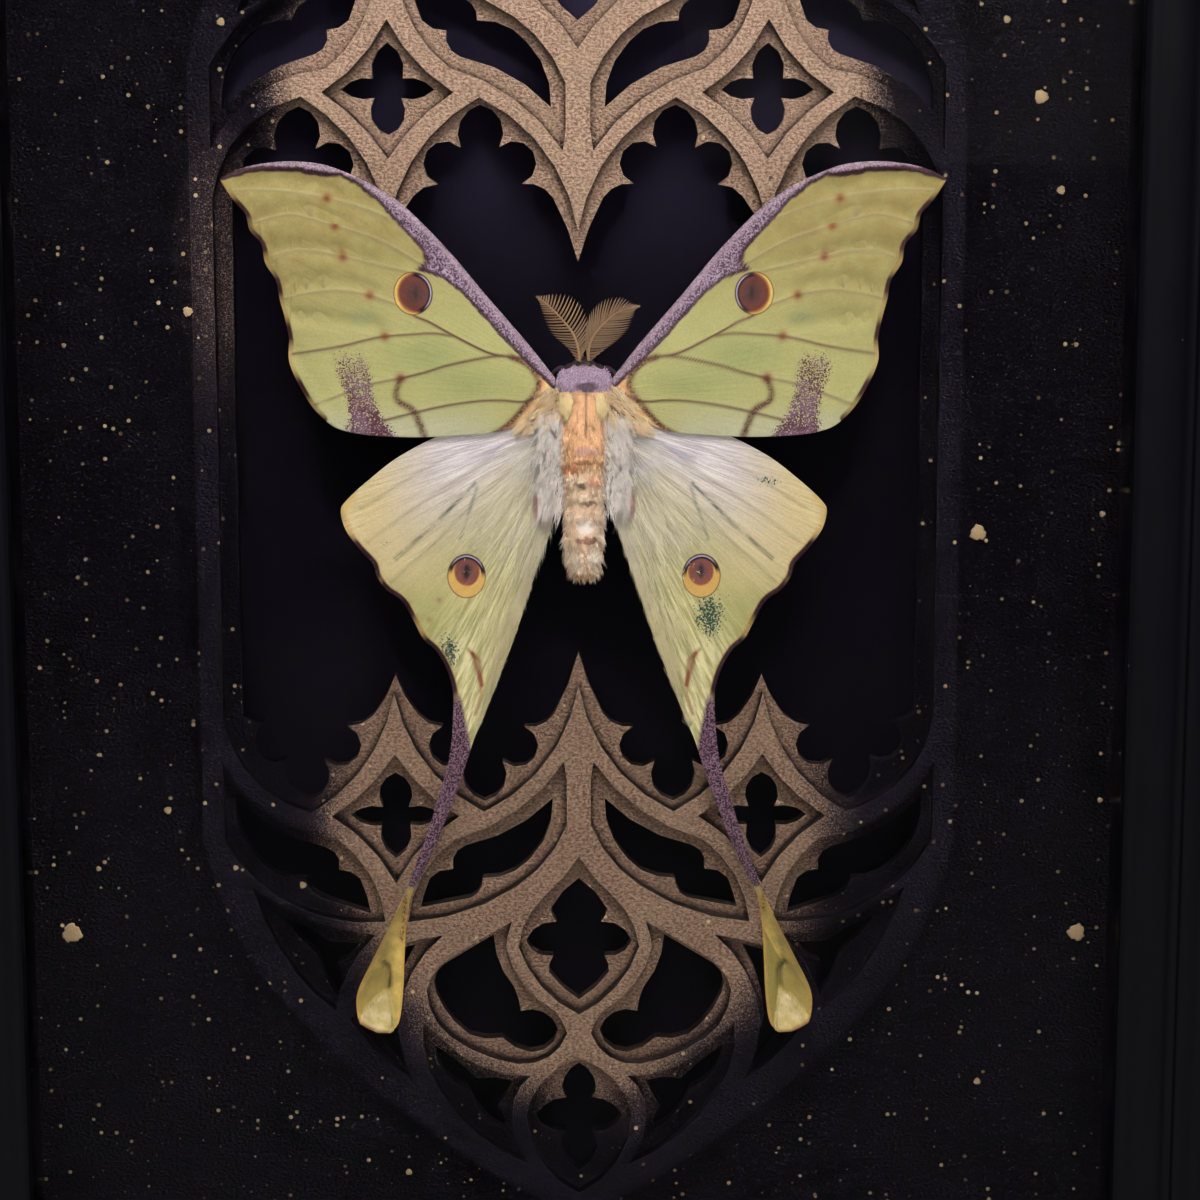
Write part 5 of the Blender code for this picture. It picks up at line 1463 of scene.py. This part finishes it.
    def build_pads(self, material: bpy.types.Material) -> bpy.types.Object:
        """The two pale pads of long scales that lie along the chest's shoulders.

        Args:
            material: the pads' finish.

        Returns:
            The pads' object.
        """
        chance = np.random.default_rng(8)
        count = 300
        side = np.where(chance.random(count) < 0.5, -1.0, 1.0)
        part = chance.random(count)
        across = 3.2 + 1.2 * (2 * chance.random(count) - 1) * np.sin(math.pi * (0.25 + 0.6 * part))
        up = 12.9 - 3.6 * part
        angle = np.arccos(np.clip(across / 4.3, -1, 1))
        points = np.stack([side * across, -self.flatness * 4.3 * np.sin(angle) - 0.3, up], axis=1)
        reach = np.stack([side * (3.3 - across) * 0.5, np.full(count, -0.25), np.full(count, -2.1)], axis=1)
        bend = np.stack([np.zeros(count), np.full(count, 0.4), np.zeros(count)], axis=1)
        hair = Hair(chance, per=7, root_spread=0.16, tip_spread=0.1, width=(0.08, 0.14)).grow(self.to_opening(points), reach, bend)
        return add_piece("shoulder_pads", hair.surface, material, values=hair.values())

    def build_shoulders(self, material: bpy.types.Material, tufts: int = 300) -> bpy.types.Object:
        """Orange hair that runs from the chest out over the root of each forewing."""
        chance = np.random.default_rng(9)
        side = np.where(chance.random(tufts) < 0.5, -1.0, 1.0)
        part = chance.random(tufts)
        across = 4.0 + 8.2 * part
        top = np.interp(across, (4.0, 6.7, 7.7, 9.6, 13.0), (14.0, 14.0, 12.0, 9.3, 6.0))
        low = np.interp(across, (4.0, 8.0, 13.0), (7.2, 6.0, 5.6))
        up = low + (top - low) * chance.random(tufts)
        slope = np.radians(-36 - 10 * part + chance.normal(0, 8, tufts))
        length = chance.uniform(1.6, 2.8, tufts) * (1 - 0.4 * part)
        roots = np.stack([MOTH_X / MM + side * (across - 0.6), -7.0 - 0.35 * chance.random(tufts), up], axis=1)
        reach = np.stack([side * np.cos(slope) * length, -chance.uniform(0.0, 0.5, tufts), np.sin(slope) * length], axis=1)
        bend = np.stack([np.zeros(tufts), np.full(tufts, 0.25), chance.uniform(-0.5, 0.1, tufts)], axis=1)
        hair = Hair(chance, per=6, root_spread=0.25, tip_spread=0.15).grow(roots, reach, bend)
        return add_piece("shoulder_hair", hair.surface, material, values=hair.values())

    def build_hip_hair(self, material: bpy.types.Material, tufts: int = 420) -> bpy.types.Object:
        """White hair between the body and the hindwings, running down and a little outwards."""
        chance = np.random.default_rng(14)
        side = np.where(chance.random(tufts) < 0.5, -1.0, 1.0)
        up = 9.0 - 17.0 * chance.random(tufts) ** 1.15
        across = np.interp(up, (-6, 0, 8), (4.4, 4.3, 4.2)) + chance.uniform(-0.4, 3.4, tufts)
        length = chance.uniform(2.6, 4.6, tufts)
        slope = np.radians(-88 + 24 * chance.random(tufts) * (across - 3.8) / 3.0)
        roots = np.stack([MOTH_X / MM + side * across, -7.2 + 0.2 * chance.normal(0, 1, tufts), up], axis=1)
        reach = np.stack([side * np.cos(slope) * length, -chance.uniform(0.0, 0.5, tufts), np.sin(slope) * length], axis=1)
        bend = np.stack([side * chance.uniform(-0.2, 0.5, tufts), np.full(tufts, 0.3), np.zeros(tufts)], axis=1)
        hair = Hair(chance, per=6, root_spread=0.3, tip_spread=0.2).grow(roots, reach, bend)
        return add_piece("hip_hair", hair.surface, material, values=hair.values())

    def build_head(self, material: bpy.types.Material) -> bpy.types.Object:
        """The two dark eyes and the palps that show above the collar."""
        whole = None
        for side in (-1.0, 1.0):
            for centre, radii in (((side * 2.35, -0.6, 16.7), (1.0, 1.1, 0.95)), ((side * 0.9, -1.6, 17.3), (0.5, 0.6, 0.8))):
                lump = ball(tuple(self.to_world(np.array(centre))), tuple(np.array(radii) * MM))
                whole = lump if whole is None else whole.joined(lump)
        return add_piece("eyes_and_palps", whole, material, values={"tone": np.full(len(whole.points), 0.4)})

    def build_legs(self, material: bpy.types.Material) -> bpy.types.Object:
        """Six thin jointed legs folded behind the wings, each a tapered tube."""
        legs = (((1.4, -4.4, 14.0), (3.6, -4.2, 16.6), (5.6, -4.0, 15.4), (6.8, -3.6, 12.4)),
                ((2.0, -3.4, 9.5), (7.0, -3.3, 7.6), (8.2, -3.1, 1.6), (6.8, -2.9, -3.4)),
                ((2.0, -3.4, 4.5), (5.6, -3.3, -0.4), (6.4, -3.1, -7.6), (5.0, -2.9, -12.6)))
        whole = None
        for side in (-1.0, 1.0):
            for joints in legs:
                path = smooth_line(joints, 30) * np.array([side, 1.0, 1.0])
                path = np.array([MOTH_X, 0.0, CENTRE_Z]) + path * MM
                leg = tube(path, np.linspace(0.42, 0.2, 30) * MM, sides=8)
                whole = leg if whole is None else whole.joined(leg)
        return add_piece("folded_legs", whole, material, values={"tone": np.full(len(whole.points), 0.4)})


# The case.


@dataclass
class MouldedFrame:
    """The four mitred rails, with the moulding's section drawn smooth between its edges."""

    sight_width: float = 0.1905
    sight_height: float = 0.3429
    mitre_trim: float = 0.00022
    front: tuple = ((0.0, -14.2), (0.0, -16.5), (0.35, -17.1), (1.2, -17.7), (3.0, -17.6), (4.6, -17.7), (6.2, -18.2), (7.4, -19.0),
                    (8.2, -20.0), (8.8, -20.35), (9.4, -20.25), (9.9, -19.75), (10.6, -19.7), (11.6, -20.1), (12.4, -20.75),
                    (13.0, -21.2), (13.6, -21.3), (14.2, -21.15), (14.7, -20.7), (15.4, -20.45), (16.6, -20.6), (17.8, -20.5),
                    (19.2, -20.0), (20.6, -19.0), (21.8, -17.6), (22.8, -15.9), (23.6, -13.8), (24.0, -11.4))

    def section(self) -> Array:
        """The section's points outwards from the sight edge and in Y, in millimetres."""
        face = smooth_line(self.front, 84)
        corners = [(23.95, 18.9), (23.5, 19.35), (5.4, 19.4), (5.0, 19.0), (5.0, -13.9), (0.2, -13.9)]
        return np.vstack([face, corners])

    def build(self, material: bpy.types.Material) -> list:
        """Builds the four rails over their nodes.

        Args:
            material: the moulding's finish.

        Returns:
            The rails' objects.
        """
        section = self.section() * MM
        out, depth = section[:, 0], section[:, 1]
        rails = []
        for word, across, up in (("left", -1, 0), ("right", 1, 0), ("top", 0, 1), ("bottom", 0, -1)):
            rings = []
            for end in np.linspace(-1, 1, 9):
                if across:
                    x, z = across * (self.sight_width / 2 + out), end * (self.sight_height / 2 + out - self.mitre_trim)
                else:
                    x, z = end * (self.sight_width / 2 + out - self.mitre_trim), up * (self.sight_height / 2 + out)
                rings.append(np.stack([x, depth, CENTRE_Z + z], axis=1))
            points = np.vstack(rings)
            count = len(section)
            faces = grid_faces(len(rings), count, wrap=True)
            ends = [list(range(count - 1, -1, -1)), list(range(len(points) - count, len(points)))]
            listed = faces.tolist() + ends
            if (across, up) in ((-1, 0), (0, 1)):
                listed = [list(reversed(face)) for face in listed]
            rails.append(add_piece(f"moulded_rail_{word}", Surface(points, listed), material, (f"rail_{word}",), sharp=32.0))
        return rails


@dataclass
class PaintSplashes:
    """Flung drops of gold paint: low irregular domes on the front of the mat and of the bars."""

    mat_mm: float = 1.5
    bars_mm: float = -1.5
    on_mat: tuple = ((-89.6, -85.5, 1.7), (80.9, 62.6, 1.15), (84.7, 46.7, 0.7), (71.6, -13.1, 1.35), (93.4, -9.8, 0.5),
                     (90.8, -85.8, 1.5), (73.5, -113.7, 0.6), (-83.9, -39.4, 0.35), (-71.9, -62.9, 0.65), (74.7, 75.7, 0.6),
                     (-83.4, -72.4, 0.35), (-84.5, -73.6, 0.45), (-74.4, -19.9, 0.35), (-83.7, -52.8, 0.35), (94.4, -61.4, 0.45),
                     (67.3, -129.6, 0.35), (84.4, 72.2, 0.35), (-88.0, 20.0, 0.4), (-80.0, 66.0, 0.35), (-92.0, 118.0, 0.8),
                     (70.0, 128.0, 0.9), (-60.0, -141.0, 0.7), (40.0, 150.0, 0.6), (-30.0, -150.0, 0.5), (88.0, 20.0, 0.4))
    on_bars: tuple = ((-59.3, 75.2, 0.65), (-66.0, 26.1, 0.8), (-47.8, -75.9, 0.6), (-59.7, -72.7, 0.45), (-29.5, -129.5, 0.55),
                      (66.0, -40.0, 0.35), (-64.9, -60.9, 0.35), (60.5, 74.0, 0.35))

    def build(self, material: bpy.types.Material) -> bpy.types.Object:
        """Builds all the drops as one piece.

        Each drop is a dome: its rim radius wobbles with the angle, and its height falls as 1 - r^2.

        Args:
            material: the paint's finish.

        Returns:
            The drops' object.
        """
        drops = [(x, z, size, self.mat_mm) for x, z, size in self.on_mat] + [(x, z, size, self.bars_mm) for x, z, size in self.on_bars]
        chance = np.random.default_rng(33)
        whole = None
        sides, rings = 28, 5
        angle = np.linspace(0, 2 * math.pi, sides, endpoint=False)
        for x, z, size, plane in drops:
            wobble = 1 + 0.1 * np.sin(3 * angle + chance.uniform(0, 6)) + 0.08 * np.sin(7 * angle + chance.uniform(0, 6))
            wobble += 0.07 * np.sin(11 * angle + chance.uniform(0, 6))
            share = np.linspace(1.0, 0.15, rings)[:, None]
            radius = size * wobble[None, :] * share
            height = 0.02 + 0.09 * np.sqrt(size) * (1 - share**2)
            ring_y = np.broadcast_to(plane - height, radius.shape)
            front = np.stack([x + radius * np.cos(angle), ring_y, z + radius * np.sin(angle)], axis=-1)
            foot = front[0] * [1, 0, 1] + [0, plane - 0.005, 0]
            points = np.vstack([foot, front.reshape(-1, 3)]) * MM + np.array([0.0, 0.0, CENTRE_Z])
            faces = grid_faces(rings + 1, sides, wrap=True).tolist()
            faces += [list(range(sides - 1, -1, -1)), list(range(rings * sides, (rings + 1) * sides))]
            drop = Surface(points, faces)
            whole = drop if whole is None else whole.joined(drop)
        return add_piece("paint_splashes", whole, material)


@dataclass(frozen=True)
class DropPaint:
    """Thick gold paint, a little shinier than the sprayed board."""

    name: str = "drop_paint"

    def build(self) -> bpy.types.Material:
        """The drops' material."""
        material, sheet, shader = new_material(self.name, Metallic=0.35)
        place = sheet.own_place()
        grain = sheet.noise(place, 0.3, 3.0, 0.7)
        sheet.plug(shader.inputs["Base Color"], sheet.mix(grain, tint("7c6344"), tint("cdb083")))
        sheet.plug(shader.inputs["Roughness"], sheet.math("ADD", 0.4, sheet.math("MULTIPLY", grain, 0.3)))
        sheet.plug(shader.inputs["Normal"], sheet.bump(grain, 0.12, 0.7))
        return material


@dataclass
class Case:
    """The framed case: rails, glass, strips, tracery layers, boards and the fittings behind."""

    def build(self) -> None:
        """Dresses the carried-over solids and builds the rails and the paint drops."""
        dress = {
            "glass_pane": ClearPane().build(),
            "bar_tracery": SprayedBoard("sprayed_bars", 1.0, 0.12, black="130f17").build(),
            "mat_board": SprayedBoard("sprayed_mat", 0.95, 0.34, gold="bb9a84", shade_gold="775c4e", shadow_line=0.85).build(),
            "background_board": NightBoard().build(),
            "backing_board": Fibreboard().build(),
            "sawtooth_hanger": WornMetal("hanger_brass", "a98747", "6f5a34", 0.3).build(),
            "mounting_pin": WornMetal("black_pin", "2a2a2e", "17171a", 0.25).build(),
        }
        steel = WornMetal("plain_steel", "a7a8ab", "77787c", 0.28).build()
        strip = GlossStrip().build()
        for name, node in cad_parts.items():
            if name.startswith(("retaining_tab", "hanger_nail")):
                dress[name] = steel
            elif "spacer" in name:
                dress[name] = strip
        for name, material in dress.items():
            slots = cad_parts[name].data.materials
            if len(slots):
                slots[0] = material
            else:
                slots.append(material)
            LOG.info("dressed %s", name)
        MouldedFrame().build(DarkLacquer().build())
        PaintSplashes().build(DropPaint().build())


@dataclass
class Moth:
    """The whole specimen."""

    def build(self) -> None:
        """Builds wings, hair, antennae and body."""
        fore, hind = ForewingScales().build(), HindwingScales().build()
        silk = HairTone("hindwing_hair", "fff4dc", "d4c79c", True, 0.9).build()
        white = HairTone("hip_hair", "fff8ee", "f8e2d2", True).build()
        orange = HairTone("shoulder_hair", "fff0c2", "f0b888").build()
        pad = HairTone("pad_scales", "ffe8b0", "ecc98c").build()
        comb = HairTone("antenna_comb", "866747", "58422e").build()
        dark = HairTone("dark_head", "33211f", "1c1112").build()
        leg = HairTone("leg_scales", "4a3742", "2c1f27").build()
        for side in Side:
            Forewing(side).build(fore)
            hindwing = Hindwing(side)
            hindwing.build(hind)
            hindwing.build_hair(silk)
            Antenna(side).build(comb)
        fur = BodyFur().build()
        body = Body()
        body.build_core(fur)
        body.build_fur(fur)
        body.build_pads(pad)
        body.build_shoulders(orange)
        body.build_hip_hair(white)
        body.build_head(dark)
        body.build_legs(leg)


@dataclass
class Studio:
    """Pale floor, soft light from above and the camera where the photograph was taken."""

    camera_place: tuple = (0.00002, -0.5373, 0.2635)
    pitch_deg: float = 9.8
    yaw_deg: float = 0.54
    lens_mm: float = 93.0

    def build(self) -> None:
        """Adds floor, lights, surroundings and camera."""
        material, sheet, shader = new_material("pale_floor", Roughness=0.9)
        speckle = sheet.noise(sheet.own_place(), 4.0, 2.0)
        sheet.plug(shader.inputs["Base Color"], sheet.mix(speckle, (0.6, 0.6, 0.6), (0.66, 0.66, 0.66)))
        mesh = bpy.data.meshes.new("studio_floor")
        mesh.from_pydata([(-2, -2, 0), (2, -2, 0), (2, 2, 0), (-2, 2, 0)], [], [(0, 1, 2, 3)])
        mesh.materials.append(material)
        floor = bpy.data.objects.new("studio_floor", mesh)
        bpy.context.scene.collection.objects.link(floor)
        self.add_light("overhead", (-0.02, -0.4, 0.62), (0.0, 0.0, 0.24), 0.24, 4.95)
        self.add_light("front_fill", (0.3, -0.75, 0.5), (0.0, 0.0, 0.2), 0.6, 1.6)
        self.add_light("rear_fill", (-0.7, 0.9, 0.9), (0.0, 0.0, 0.2), 0.8, 7.0)
        world = bpy.data.worlds.new("studio")
        world.use_nodes = True
        world.node_tree.nodes["Background"].inputs["Color"].default_value = (0.8, 0.82, 0.86, 1.0)
        world.node_tree.nodes["Background"].inputs["Strength"].default_value = 0.18
        scene = bpy.context.scene
        scene.world = world
        scene.view_settings.view_transform = "Standard"
        data = bpy.data.cameras.new("photo_view")
        data.lens = self.lens_mm
        data.sensor_width = 36.0
        data.clip_start = 0.01
        camera = bpy.data.objects.new("photo_view", data)
        camera.location = self.camera_place
        camera.rotation_euler = (math.radians(90 - self.pitch_deg), 0.0, -math.radians(self.yaw_deg))
        scene.collection.objects.link(camera)
        scene.camera = camera

    def add_light(self, name: str, place: tuple, target: tuple, size: float, power: float) -> None:
        """Adds a square soft light that faces a target."""
        data = bpy.data.lights.new(name, "AREA")
        data.size = size
        data.energy = power
        light = bpy.data.objects.new(name, data)
        light.location = place
        light.rotation_euler = (Vector(target) - Vector(place)).to_track_quat("-Z", "Y").to_euler()
        bpy.context.scene.collection.objects.link(light)


def main() -> None:
    """Builds the shared groups, the studio, the case and the moth."""
    logging.basicConfig(level=logging.INFO, format="%(message)s")
    for build in (build_flecks_group, build_spray_group, build_paper_group, build_powder_group, build_eye_spot_group):
        build()
    Studio().build()
    Case().build()
    Moth().build()


if __name__ == "__main__":
    main()
